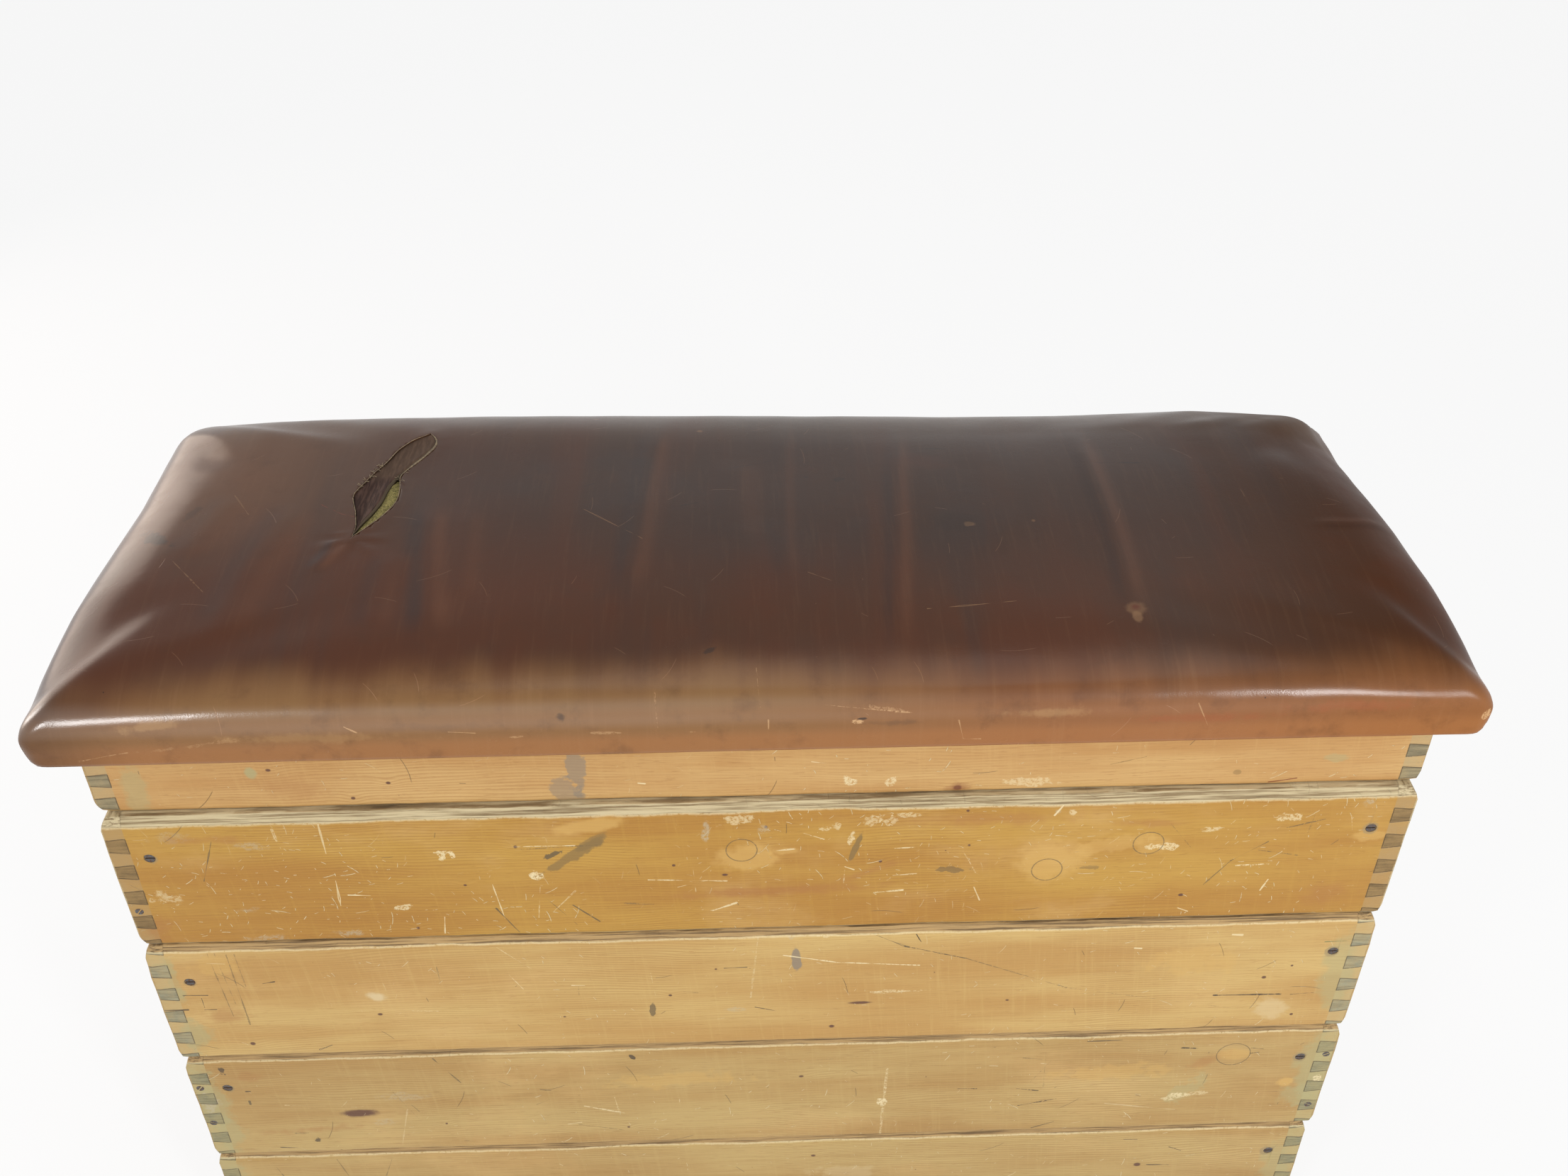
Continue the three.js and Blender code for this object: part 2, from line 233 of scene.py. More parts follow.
class FastenerSettings(bpy.types.PropertyGroup):
    screw_radius: size("Screw Radius", "Radius of a repair screw's head", 0.0052)
    tack_radius: size("Tack Radius", "Radius of a tack's head", 0.0045)
    tack_spacing: size("Tack Spacing", "Distance between the tacks", 0.038)
    steel: colour("Old Steel", "Dull steel of the screws", paint(102, 102, 102))
    rust: colour("Rust", "Rust on the screws and tacks", paint(92, 62, 40))


class StageSettings(bpy.types.PropertyGroup):
    lens: bpy.props.FloatProperty(
        name="Lens", description="Focal length of the camera", default=35.805, unit="CAMERA"
    )
    floor_size: size("Floor Size", "Width of the floor", 60.0, high=200.0)
    floor_colour: colour("Floor", "Colour of the floor", (0.8, 0.8, 0.8))
    sky: bpy.props.FloatProperty(
        name="Sky", description="Strength of the light from all round", default=0.5, min=0
    )


SETTINGS = {"vault_timber": TimberSettings, "vault_leather": LeatherSettings,
            "vault_fasteners": FastenerSettings, "vault_stage": StageSettings}


# Shader nodes


class Graph:
    """Adds linked nodes to one shader tree."""

    def __init__(self, tree):
        self.tree = tree

    def plug(self, socket, value):
        if isinstance(value, bpy.types.NodeSocket):
            self.tree.links.new(value, socket)
        elif value is not None:
            socket.default_value = value

    def add(self, kind, inputs=None, **settings):
        made = self.tree.nodes.new(kind)
        for name, value in settings.items():
            setattr(made, name, value)
        for key, value in (inputs or {}).items():
            self.plug(made.inputs[key], value)
        return made

    def math(self, operation, a, b=None, c=None, clamp=False):
        inputs = {0: a, 1: b, 2: c}
        return self.add("ShaderNodeMath", inputs, operation=operation, use_clamp=clamp).outputs[0]

    def times(self, a, *others):
        for other in others:
            a = self.math("MULTIPLY", a, other)
        return a

    def plus(self, a, b):
        return self.math("ADD", a, b)

    def minus(self, a, b):
        return self.math("SUBTRACT", a, b)

    def absolute(self, a):
        return self.math("ABSOLUTE", a)

    def most(self, a, b):
        return self.math("MAXIMUM", a, b)

    def line(self, a, slope, start):
        """The start plus the slope times a value."""
        return self.math("MULTIPLY_ADD", a, slope, start)

    def vector(self, operation, a, b=None, scale=None):
        made = self.add("ShaderNodeVectorMath", operation=operation)
        for socket, value in zip(made.inputs, (a, b, None, scale)):
            self.plug(socket, value)
        scalar = operation in ("LENGTH", "DOT_PRODUCT", "DISTANCE")
        return made.outputs["Value" if scalar else "Vector"]

    def parts(self, vector):
        return self.add("ShaderNodeSeparateXYZ", {0: vector}).outputs

    def join(self, x=0.0, y=0.0, z=0.0):
        return self.add("ShaderNodeCombineXYZ", {0: x, 1: y, 2: z}).outputs[0]

    def ramp(self, value, low, high, to_low=0.0, to_high=1.0):
        inputs = {"Value": value, "From Min": low, "From Max": high}
        inputs.update({"To Min": to_low, "To Max": to_high})
        made = self.add("ShaderNodeMapRange", inputs, interpolation_type="SMOOTHSTEP")
        return made.outputs["Result"]

    def noise(self, vector, scale, detail=3.0, roughness=0.55, distortion=0.0):
        inputs = {"Vector": vector, "Scale": scale, "Detail": detail}
        inputs.update({"Roughness": roughness, "Distortion": distortion})
        return self.add("ShaderNodeTexNoise", inputs).outputs["Fac"]

    def mix(self, factor, a, b):
        made = self.add("ShaderNodeMix", data_type="RGBA")
        self.plug(made.inputs[0], factor)
        for socket, value in ((made.inputs[6], a), (made.inputs[7], b)):
            self.plug(socket, (*value, 1.0) if isinstance(value, tuple) else value)
        return made.outputs[2]

    def tint(self, colour, mask, strength, paint):
        """The colour with a paint laid over it where the mask is, as strongly as given."""
        return self.mix(self.times(mask, strength), colour, paint)

    def group(self, tree, inputs):
        made = self.add("ShaderNodeGroup", node_tree=tree)
        for key, value in inputs.items():
            self.plug(made.inputs[key], value)
        return made.outputs


def as_colour(value):
    return tuple(value[:3])


def start_group(name, inputs, outputs):
    """An empty shader group with named sockets, its graph, inputs and output node."""
    tree = bpy.data.node_groups.new(name, "ShaderNodeTree")
    for label, kind, default in inputs:
        socket = tree.interface.new_socket(name=label, in_out="INPUT", socket_type=kind)
        if default is not None:
            socket.default_value = default
    for label in outputs:
        tree.interface.new_socket(name=label, in_out="OUTPUT", socket_type="NodeSocketFloat")
    graph = Graph(tree)
    inside = graph.add("NodeGroupInput").outputs
    outside = graph.add("NodeGroupOutput")
    return tree, graph, inside, outside


FLOAT = "NodeSocketFloat"
VECTOR = "NodeSocketVector"


def grain_group():
    """Pine grain along X: fine fibres, growth rings and broad figure."""
    inputs = [("Vector", VECTOR, None), ("Bend", FLOAT, 0.0), ("Ring Width", FLOAT, 0.0042)]
    tree, g, i, out = start_group("Pine Grain", inputs, ("Fibre", "Ring", "Figure"))
    x, y, z = g.parts(i["Vector"])[:3]
    long_wave = g.noise(g.join(g.times(x, 1.6), y, g.times(z, 6.0)), 1.0)
    lift = g.times(long_wave, 0.07)
    ripple = g.noise(g.join(g.times(x, 9.0), y, g.times(z, 60.0)), 1.0, 2.0)
    height = g.plus(g.plus(z, lift), g.times(ripple, 0.0012))
    turns = g.math("DIVIDE", g.plus(height, i["Bend"]), i["Ring Width"])
    saw = g.math("FRACT", turns)
    late = g.times(g.ramp(saw, 0.35, 0.92), g.ramp(saw, 1.0, 0.93))
    fibre_place = g.join(g.times(x, 7.0), g.times(y, 500.0), g.times(z, 500.0))
    figure_place = g.join(g.times(x, 2.2), y, g.times(z, 14.0))
    g.plug(out.inputs["Fibre"], g.noise(fibre_place, 1.0, 4.0, 0.6))
    g.plug(out.inputs["Ring"], late)
    g.plug(out.inputs["Figure"], g.noise(figure_place, 1.0, 3.0))
    return tree


def blot_group():
    """A ragged oval on a plane, given by its centre, half size and turn."""
    inputs = [
        ("Vector", VECTOR, None), ("Centre", VECTOR, None), ("Half Size", VECTOR, (1.0, 1.0, 1.0)),
        ("Turn", FLOAT, 0.0), ("Rough", FLOAT, 0.0), ("Ragged", FLOAT, 0.3), ("Soft", FLOAT, 0.3),
    ]
    tree, g, i, out = start_group("Blot", inputs, ("Mask", "Distance"))
    away = g.vector("SUBTRACT", i["Vector"], i["Centre"])
    turned = g.add("ShaderNodeVectorRotate", {"Vector": away, "Angle": i["Turn"]},
                   rotation_type="Z_AXIS", invert=True).outputs[0]
    distance = g.vector("LENGTH", g.vector("DIVIDE", turned, i["Half Size"]))
    edge = g.line(i["Rough"], i["Ragged"], distance)
    g.plug(out.inputs["Mask"], g.ramp(edge, 1.0, g.minus(1.0, i["Soft"])))
    g.plug(out.inputs["Distance"], distance)
    return tree


def stroke_group():
    """A broken line on a plane from one point to another."""
    inputs = [("Vector", VECTOR, None), ("From", VECTOR, None), ("To", VECTOR, None),
              ("Width", FLOAT, 0.002), ("Sway", FLOAT, 0.0), ("Worn", FLOAT, 0.5),
              ("Broken", FLOAT, 0.4), ("Wobble", FLOAT, 0.004)]
    tree, g, i, out = start_group("Stroke", inputs, ("Mask",))
    along = g.vector("SUBTRACT", i["To"], i["From"])
    away = g.vector("SUBTRACT", i["Vector"], i["From"])
    length = g.vector("DOT_PRODUCT", along, along)
    reach = g.math("DIVIDE", g.vector("DOT_PRODUCT", away, along), length, clamp=True)
    nearest = g.vector("SCALE", along, scale=reach)
    distance = g.vector("DISTANCE", away, nearest)
    off = g.absolute(g.line(i["Sway"], i["Wobble"], distance))
    half = g.times(i["Width"], 0.5)
    line = g.ramp(off, half, g.times(half, 0.4))
    kept = g.ramp(i["Worn"], g.minus(i["Broken"], 0.06), g.plus(i["Broken"], 0.06))
    g.plug(out.inputs["Mask"], g.times(line, kept))
    return tree


def scratch_group():
    """Short straight scratches scattered over a plane, one to a cell."""
    inputs = [("Vector", VECTOR, None), ("Cell", FLOAT, 0.03), ("Length", FLOAT, 0.4),
              ("Width", FLOAT, 0.0012), ("Share", FLOAT, 0.3), ("Seed", FLOAT, 0.0),
              ("Spin", FLOAT, 3.1416)]
    tree, g, i, out = start_group("Scratches", inputs, ("Mask",))
    moved = g.vector("ADD", i["Vector"], g.join(i["Seed"], i["Seed"], 0.0))
    scaled = g.vector("SCALE", moved, scale=g.math("DIVIDE", 1.0, i["Cell"]))
    cells = g.add("ShaderNodeTexVoronoi", {"Vector": scaled, "Scale": 1.0}, voronoi_dimensions="2D")
    away = g.vector("SUBTRACT", scaled, cells.outputs["Position"])
    chance, spin, reach = g.parts(cells.outputs["Color"])[:3]
    angle = g.times(spin, i["Spin"])
    turned = g.add("ShaderNodeVectorRotate", {"Vector": away, "Angle": angle},
                   rotation_type="Z_AXIS").outputs[0]
    u, v, _ = g.parts(turned)[:3]
    half_length = g.times(i["Length"], reach)
    half_width = g.math("DIVIDE", i["Width"], g.times(i["Cell"], 2.0))
    curve = g.times(u, u, 0.3)
    side = g.absolute(g.plus(v, curve))
    within = g.ramp(g.absolute(u), half_length, g.times(half_length, 0.7))
    thin = g.ramp(side, half_width, g.times(half_width, 0.4))
    some = g.math("LESS_THAN", chance, i["Share"])
    g.plug(out.inputs["Mask"], g.times(within, thin, some))
    return tree


def wear_group():
    """A ragged band next to an edge that lies at distance 0."""
    inputs = [("Vector", VECTOR, None), ("Distance", FLOAT, 1.0), ("Reach", FLOAT, 0.01),
              ("Ragged", FLOAT, 0.8)]
    tree, g, i, out = start_group("Edge Wear", inputs, ("Mask",))
    broad = g.noise(i["Vector"], 22.0, 5.0, 0.7)
    swing = g.times(g.minus(broad, 0.5), g.times(i["Ragged"], 4.0))
    reach = g.times(i["Reach"], g.plus(1.0, swing))
    soft = g.times(reach, 0.75)
    g.plug(out.inputs["Mask"], g.ramp(i["Distance"], reach, soft))
    return tree


GROUPS = {}


def build_groups():
    GROUPS["grain"] = grain_group()
    GROUPS["blot"] = blot_group()
    GROUPS["stroke"] = stroke_group()
    GROUPS["scratches"] = scratch_group()
    GROUPS["wear"] = wear_group()


def new_material(name):
    material = bpy.data.materials.new(name)
    material.use_nodes = True
    graph = Graph(material.node_tree)
    shader = material.node_tree.nodes["Principled BSDF"]
    return material, graph, shader


def bumped(graph, height, distance, strength=1.0):
    inputs = {"Height": height, "Distance": distance, "Strength": strength}
    return graph.add("ShaderNodeBump", inputs).outputs[0]


# Marks on the front boards

# Their places are in mm, from the middle of the frame and from the height of its visible top edge
HEAD_DROP = 0.009

# x, z, half width, half height, turn in degrees, colour, strength, raggedness
BLOTS = {
    TOP: [
        (-201, 56, 12, 36, 0, "slate", 0.65, 1.4), (-212, 24, 17, 30, 10, "slate", 0.55, 1.6),
        (91, 30, 9, 8, 0, "chalk_and_glint", 0.75, 2.2), (132, 26, 5, 8, -30, "chalk_and_glint", 0.7, 2.2),
        (-538, 64, 8, 11, 0, "sage", 0.8, 0.7), (284, 24, 30, 6, 0, "chalk_and_glint", 0.5, 3.0),
        (609, 48, 14, 7, 0, "sage", 0.45, 1.4), (-497, 40, 50, 26, 0, "shade", 0.35, 1.0),
        (205, 17, 18, 11, 0, "rust", 0.55, 0.9), (506, 30, 5, 4, 0, "olive", 0.5, 1.0),
        (-662, 40, 16, 60, 0, "sage", 0.45, 1.0),
    ],
    "section_2": [
        (-22, -72, 42, 25, 4, "golden", 0.6, 0.7), (18, -63, 24, 6, 3, "golden", 0.45, 1.2),
        (314, -88, 50, 40, 8, "golden", 0.55, 0.6), (378, -66, 54, 14, 14, "golden", 0.4, 1.2),
        (425, -66, 26, 20, 0, "golden", 0.4, 0.6), (-192, -17, 44, 13, 10, "golden", 0.65, 0.6),
        (-210, -60, 50, 8, 36, "olive", 0.75, 1.2), (-190, -42, 24, 8, 34, "olive", 0.7, 0.9),
        (-229, -57, 20, 4, 32, "dent", 0.85, 2.6), (97, -61, 4, 25, -16, "olive", 0.85, 0.8),
        (91, -48, 4, 9, -20, "chalk_and_glint", 0.7, 2.0), (-353, -60, 6, 7, 0, "chalk_and_glint", 0.85, 2.6),
        (-342, -58, 4, 6, 0, "chalk_and_glint", 0.85, 2.6), (-337, -80, 7, 5, -30, "chalk_and_glint", 0.9, 2.4),
        (-254, -91, 7, 7, 0, "chalk_and_glint", 0.9, 2.8), (-402, -136, 12, 4, 10, "chalk_and_glint", 0.75, 2.6),
        (-27, -13, 16, 6, 0, "chalk_and_glint", 0.55, 2.6), (118, -17, 12, 9, 0, "chalk_and_glint", 0.5, 2.6),
        (130, -21, 9, 6, 0, "chalk_and_glint", 0.5, 2.6), (77, -25, 6, 10, 0, "chalk_and_glint", 0.5, 2.4),
        (62, -30, 7, 4, 0, "chalk_and_glint", 0.5, 2.4), (156, -12, 12, 4, 0, "chalk_and_glint", 0.5, 2.4),
        (-66, -28, 5, 22, 0, "silver", 0.6, 1.4), (571, -30, 15, 6, 0, "chalk_and_glint", 0.6, 2.4),
        (490, -45, 11, 4, 0, "chalk_and_glint", 0.6, 2.6), (437, -71, 14, 5, 0, "chalk_and_glint", 0.7, 2.6),
        (316, -13, 5, 5, 0, "silver", 0.6, 1.6), (331, -14, 5, 6, 0, "chalk_and_glint", 0.6, 1.6),
        (656, -10, 12, 8, 20, "silver", 0.5, 2.2), (208, -100, 18, 4, 0, "dent", 0.55, 2.6),
        (360, -101, 16, 3, 0, "dent", 0.4, 2.6), (-554, -35, 18, 7, 0, "silver", 0.35, 1.8),
        (-475, -178, 18, 7, 0, "silver", 0.5, 1.6), (-563, -184, 26, 8, 0, "silver", 0.4, 1.8),
        (-580, -135, 20, 6, 10, "silver", 0.35, 1.8), (-662, -112, 14, 16, 30, "chalk_and_glint", 0.4, 2.6),
        (-640, -20, 30, 8, 0, "silver", 0.25, 1.8), (0, -126, 150, 12, 2, "shade", 0.6, 0.8),
        (110, -100, 60, 9, 24, "shade", 0.45, 0.8), (240, -22, 120, 14, 0, "shade", 0.5, 0.8),
        (420, -34, 60, 8, -3, "shade", 0.45, 0.8), (640, -150, 40, 30, 0, "shade", 0.4, 1.2),
        (670, -62, 30, 10, 0, "golden", 0.5, 0.9), (-680, -160, 30, 26, 0, "shade", 0.5, 1.2),
        (-600, -24, 60, 9, 0, "shade", 0.4, 1.2), (-2, -28, 8, 7, 0, "silver", 0.4, 1.4),
    ],
    "section_3": [
        (28, 4, 5, 10, 0, "silver", 0.6, 1.2), (34, -38, 6.5, 24, 3, "slate", 0.85, 0.7),
        (-137, -122, 3.5, 15, -2, "dent", 0.75, 1.5), (-458, -85, 15, 9, -20, "pale", 0.75, 0.9),
        (64, 4, 12, 6, 0, "chalk_and_glint", 0.5, 1.4), (-40, -126, 14, 4, 0, "silver", 0.35, 1.6),
        (-690, -30, 16, 14, 0, "sage", 0.5, 1.2), (-688, -68, 15, 13, 0, "sage", 0.55, 1.2),
        (-680, -145, 26, 34, 0, "sage", 0.6, 1.0), (-684, -44, 9, 50, 0, "sage", 0.35, 1.2),
        (-640, -110, 34, 24, 0, "shade", 0.45, 1.2), (-630, -24, 40, 20, 0, "golden", 0.4, 1.2),
        (680, -90, 27, 84, 2, "sage", 0.55, 0.7), (610, -150, 22, 26, 0, "pale", 0.4, 1.2),
        (150, -101, 32, 3, 0, "chalk_and_glint", 0.35, 3.0), (500, -60, 60, 30, 0, "golden", 0.35, 1.2),
    ],
    "section_4": [
        (-690, -80, 24, 70, 0, "sage", 0.55, 1.2), (-682, -140, 26, 44, 0, "sage", 0.5, 1.2),
        (-695, -76, 12, 20, 0, "silver", 0.6, 2.2), (688, -80, 30, 84, 4, "sage", 0.6, 0.9),
        (672, -130, 26, 26, 0, "sage", 0.45, 1.2), (698, -95, 6, 8, 0, "chalk_and_glint", 0.8, 1.6),
        (657, -100, 13, 12, 0, "golden", 0.7, 0.8), (580, -41, 30, 14, 0, "golden", 0.5, 0.5),
        (548, -52, 40, 12, 30, "shade", 0.4, 1.2), (530, -112, 34, 16, 50, "sage", 0.4, 2.4),
        (524, -124, 20, 5, 14, "chalk_and_glint", 0.6, 2.6), (545, -119, 26, 4, 4, "chalk_and_glint", 0.4, 2.6),
        (-452, -78, 40, 9, 0, "silver", 0.3, 2.0), (-486, -130, 20, 8, 0, "silver", 0.3, 2.0),
        (-580, -140, 90, 10, 4, "shade", 0.4, 1.2), (-640, -30, 30, 12, 0, "shade", 0.3, 1.2),
        (-168, -11, 3, 5, 40, "grime", 0.85, 1.6), (-575, -163, 7, 5, 60, "grime", 0.8, 2.8),
        (-665, -15, 5, 8, 0, "grime", 0.8, 2.8), (440, -70, 90, 18, 2, "golden", 0.35, 1.4),
        (-120, -60, 90, 18, 2, "golden", 0.35, 1.4), (146, -118, 7, 9, 0, "chalk_and_glint", 0.85, 1.8),
    ],
    "base": [
        (-686, -80, 24, 80, 0, "sage", 0.5, 0.9), (682, -90, 26, 70, 6, "sage", 0.5, 0.9),
        (100, -70, 60, 20, 0, "pale", 0.25, 1.5),
    ],
}

# from x, from z, to x, to z, width, colour, strength, how broken from 0 to 1
STROKES = {
    TOP: [
        (367, 46, 404, 56, 1.8, "olive", 0.7, 0.45), (543, 14, 572, 19, 3.0, "rust", 0.9, 0.3),
        (-136, 35, -129, 34, 2.5, "chalk_and_glint", 0.8, 0.3), (48, 60, 64, 57, 1.4, "chalk_and_glint", 0.6, 0.4),
        (-640, 45, -300, 20, 1.0, "dent", 0.3, 0.6), (72, 10, 74, -8, 1.8, "chalk_and_glint", 0.7, 0.4),
    ],
    "section_2": [
        (555, -67, 518, -96, 1.6, "dent", 0.85, 0.35),
        (518, -96, 493, -134, 1.4, "dent", 0.75, 0.4), (546, -80, 592, -90, 1.8, "dent", 0.85, 0.5),
        (572, -46, 612, -34, 1.8, "dent", 0.8, 0.45),
        (-294, -46, -209, -46, 1.4, "chalk_and_glint", 0.75, 0.45),
        (-268, -50, -180, -46, 1.4, "dent", 0.7, 0.5),
        (-478, -5, -477, -49, 1.8, "chalk_and_glint", 0.6, 0.35),
        (-528, -11, -526, -28, 2.0, "chalk_and_glint", 0.5, 0.45),
        (-474, -92, -475, -132, 1.5, "chalk_and_glint", 0.7, 0.35),
        (-464, -115, -440, -117, 1.6, "chalk_and_glint", 0.85, 0.35),
        (-595, -26, -616, -87, 1.3, "dent", 0.75, 0.35),
        (-363, -155, -366, -182, 1.8, "chalk_and_glint", 0.8, 0.4),
        (-304, -104, -296, -160, 1.6, "chalk_and_glint", 0.75, 0.4),
        (-304, -143, -282, -184, 2.2, "dent", 0.85, 0.35),
        (-248, -127, -216, -173, 1.2, "dent", 0.6, 0.4),
        (-218, -141, -190, -169, 2.0, "dent", 0.85, 0.4),
        (-252, -110, -258, -160, 1.3, "chalk_and_glint", 0.6, 0.45),
        (-240, -150, -214, -118, 1.0, "chalk_and_glint", 0.5, 0.45),
        (-132, -103, -45, -108, 1.6, "chalk_and_glint", 0.75, 0.45),
        (-100, -116, -66, -106, 1.2, "chalk_and_glint", 0.6, 0.45),
        (-82, -84, -80, -124, 1.4, "chalk_and_glint", 0.55, 0.45),
        (-62, -156, -35, -144, 2.6, "chalk_and_glint", 0.8, 0.42),
        (-160, -140, -128, -143, 2.0, "dent", 0.6, 0.5),
        (10, -62, 30, -60, 1.8, "chalk_and_glint", 0.75, 0.4),
        (120, -133, 152, -130, 2.6, "chalk_and_glint", 0.8, 0.45),
        (140, -63, 162, -62, 2.2, "chalk_and_glint", 0.75, 0.45),
        (140, -106, 166, -104, 1.8, "chalk_and_glint", 0.6, 0.45), (86, -90, 96, -95, 2.2, "chalk_and_glint", 0.8, 0.3),
        (86, -95, 84, -136, 1.2, "chalk_and_glint", 0.5, 0.5), (40, -36, 62, -46, 1.8, "chalk_and_glint", 0.7, 0.4),
        (525, -104, 562, -103, 2.4, "chalk_and_glint", 0.85, 0.5),
        (566, -128, 560, -146, 2.4, "chalk_and_glint", 0.8, 0.4),
        (470, -172, 482, -178, 1.6, "chalk_and_glint", 0.7, 0.3),
        (320, -4, 312, -18, 2.0, "chalk_and_glint", 0.8, 0.35), (442, -36, 470, -74, 1.2, "dent", 0.5, 0.5),
        (216, -70, 232, -104, 1.2, "chalk_and_glint", 0.5, 0.5),
        (232, -128, 240, -150, 1.8, "chalk_and_glint", 0.7, 0.4),
        (380, -140, 392, -152, 1.4, "dent", 0.6, 0.4), (640, -30, 648, -62, 1.4, "chalk_and_glint", 0.5, 0.5),
        (600, -18, 596, -60, 1.2, "dent", 0.4, 0.5),
    ],
    "section_3": [
        (19, -31, 82, -46, 2.4, "chalk_and_glint", 0.9, 0.42), (82, -46, 178, -55, 2.0, "chalk_and_glint", 0.85, 0.46),
        (-309, -4, -273, -43, 1.4, "chalk_and_glint", 0.7, 0.45),
        (-300, -52, -286, -78, 1.2, "chalk_and_glint", 0.6, 0.45), (116, 5, 160, -21, 1.3, "dent", 0.7, 0.4),
        (160, -21, 232, -45, 2.0, "dent", 0.9, 0.45), (232, -45, 356, -103, 1.1, "dent", 0.6, 0.45),
        (356, -103, 562, -150, 1.0, "dent", 0.45, 0.5),
        (537, -125, 618, -126, 2.8, "grime", 0.95, 0.42),
        (631, -127, 658, -125, 2.2, "grime", 0.85, 0.45),
        (653, -33, 679, -32, 1.4, "green", 0.7, 0.4), (-50, -51, -24, -50, 1.8, "dent", 0.85, 0.35),
        (-99, -91, -82, -94, 2.0, "dent", 0.7, 0.4), (-15, -123, 13, -132, 1.6, "dent", 0.8, 0.4),
        (-136, -56, -132, -100, 1.2, "chalk_and_glint", 0.55, 0.5),
        (-10, 5, -20, -105, 1.8, "pale", 0.5, 0.5), (122, -101, 176, -101, 3.0, "chalk_and_glint", 0.5, 0.5),
        (172, -2, 178, -14, 1.6, "grime", 0.9, 0.25),
        (-229, -74, -214, -75, 1.6, "chalk_and_glint", 0.7, 0.4),
        (-221, -76, -222, -92, 1.0, "dent", 0.5, 0.5),
        (-636, -2, -629, -113, 1.4, "dent", 0.55, 0.42),
        (-628, -2, -622, -90, 1.0, "dent", 0.45, 0.45),
        (-615, -5, -613, -129, 1.6, "dent", 0.6, 0.42),
        (-606, -4, -604, -60, 1.0, "dent", 0.45, 0.45),
        (-584, -2, -580, -40, 1.0, "chalk_and_glint", 0.35, 0.5),
        (-710, -40, -684, -43, 1.6, "grime", 0.95, 0.25),
        (-706, -99, -679, -99, 2.0, "grime", 0.9, 0.3),
        (-679, -73, -651, -74, 1.6, "grime", 0.9, 0.3),
        (-659, -79, -659, -96, 1.8, "grime", 0.9, 0.2),
        (-660, -100, -646, -100, 1.8, "grime", 0.9, 0.2),
        (-584, -56, -570, -53, 2.2, "grime", 0.95, 0.2),
        (-540, -180, -524, -172, 1.2, "dent", 0.8, 0.4),
        (-640, -18, -620, -20, 2.0, "chalk_and_glint", 0.7, 0.4),
        (-420, -112, -390, -114, 1.6, "chalk_and_glint", 0.45, 0.5),
        (-382, -16, -380, -70, 0.9, "dent", 0.55, 0.45),
        (541, -16, 552, -17, 4.0, "chalk_and_glint", 0.8, 0.3), (429, -35, 437, -36, 3.0, "chalk_and_glint", 0.8, 0.3),
        (-90, -20, -20, -24, 0.9, "shade", 0.5, 0.5),
    ],
    "section_4": [
        (-409, -4, -381, -53, 1.3, "dent", 0.8, 0.4),
        (-285, -71, -272, -74, 1.6, "dent", 0.8, 0.35),
        (-275, -92, -292, -102, 1.0, "dent", 0.4, 0.45),
        (-233, -108, -183, -125, 2.2, "chalk_and_glint", 0.7, 0.45),
        (-256, -145, -239, -142, 1.8, "chalk_and_glint", 0.6, 0.4),
        (-243, -146, -169, -166, 1.0, "dent", 0.6, 0.45),
        (-194, -92, -190, -122, 1.2, "chalk_and_glint", 0.5, 0.5),
        (-625, -176, -603, -178, 1.8, "grime", 0.9, 0.35),
        (-550, -186, -541, -190, 2.4, "grime", 0.9, 0.2),
        (-601, -147, -585, -147, 1.6, "grime", 0.7, 0.45),
        (-603, -88, -576, -90, 1.8, "chalk_and_glint", 0.5, 0.45),
        (-645, -58, -640, -58, 3.0, "grime", 0.8, 0.3),
        (-645, -78, -645, -84, 3.0, "dent", 0.8, 0.3),
        (-454, -104, -474, -193, 1.6, "pale", 0.5, 0.45),
        (512, -25, 532, -27, 3.6, "grime", 0.9, 0.45),
        (601, -29, 616, -32, 2.2, "grime", 0.85, 0.45),
        (601, -40, 612, -38, 1.6, "grime", 0.7, 0.45), (393, -7, 436, -6, 2.0, "dent", 0.9, 0.4),
        (316, -36, 340, -40, 1.2, "dent", 0.7, 0.45), (343, -23, 347, -95, 1.2, "dent", 0.55, 0.5),
        (352, -42, 329, -86, 1.4, "dent", 0.45, 0.5), (385, -66, 362, -99, 1.4, "dent", 0.5, 0.5),
        (313, -98, 341, -104, 2.4, "grime", 0.85, 0.45),
        (318, -134, 366, -122, 2.2, "grime", 0.85, 0.45),
        (237, -95, 262, -96, 3.4, "grime", 0.85, 0.48),
        (468, -119, 474, -122, 3.0, "grime", 0.85, 0.4),
        (430, -135, 523, -153, 1.6, "pale", 0.75, 0.4),
        (340, -183, 368, -171, 1.4, "dent", 0.75, 0.4),
        (638, -121, 650, -120, 1.6, "dent", 0.8, 0.4), (40, -30, 110, -24, 1.2, "dent", 0.4, 0.5),
        (147, -50, 143, -190, 4.0, "chalk_and_glint", 0.55, 0.5),
        (-470, -60, -440, -130, 1.4, "dent", 0.4, 0.5),
    ],
    "base": [
        (-639, -8, -629, -44, 1.6, "dent", 0.6, 0.42),
        (-556, -6, -546, -46, 1.4, "dent", 0.55, 0.42),
        (-486, -10, -500, -50, 1.4, "dent", 0.5, 0.42), (468, -15, 486, -16, 1.6, "dent", 0.8, 0.4),
        (531, -35, 548, -44, 1.8, "dent", 0.8, 0.4), (507, -74, 536, -76, 2.4, "dent", 0.85, 0.4),
        (-100, -90, 40, -84, 1.6, "chalk_and_glint", 0.5, 0.5),
    ],
}

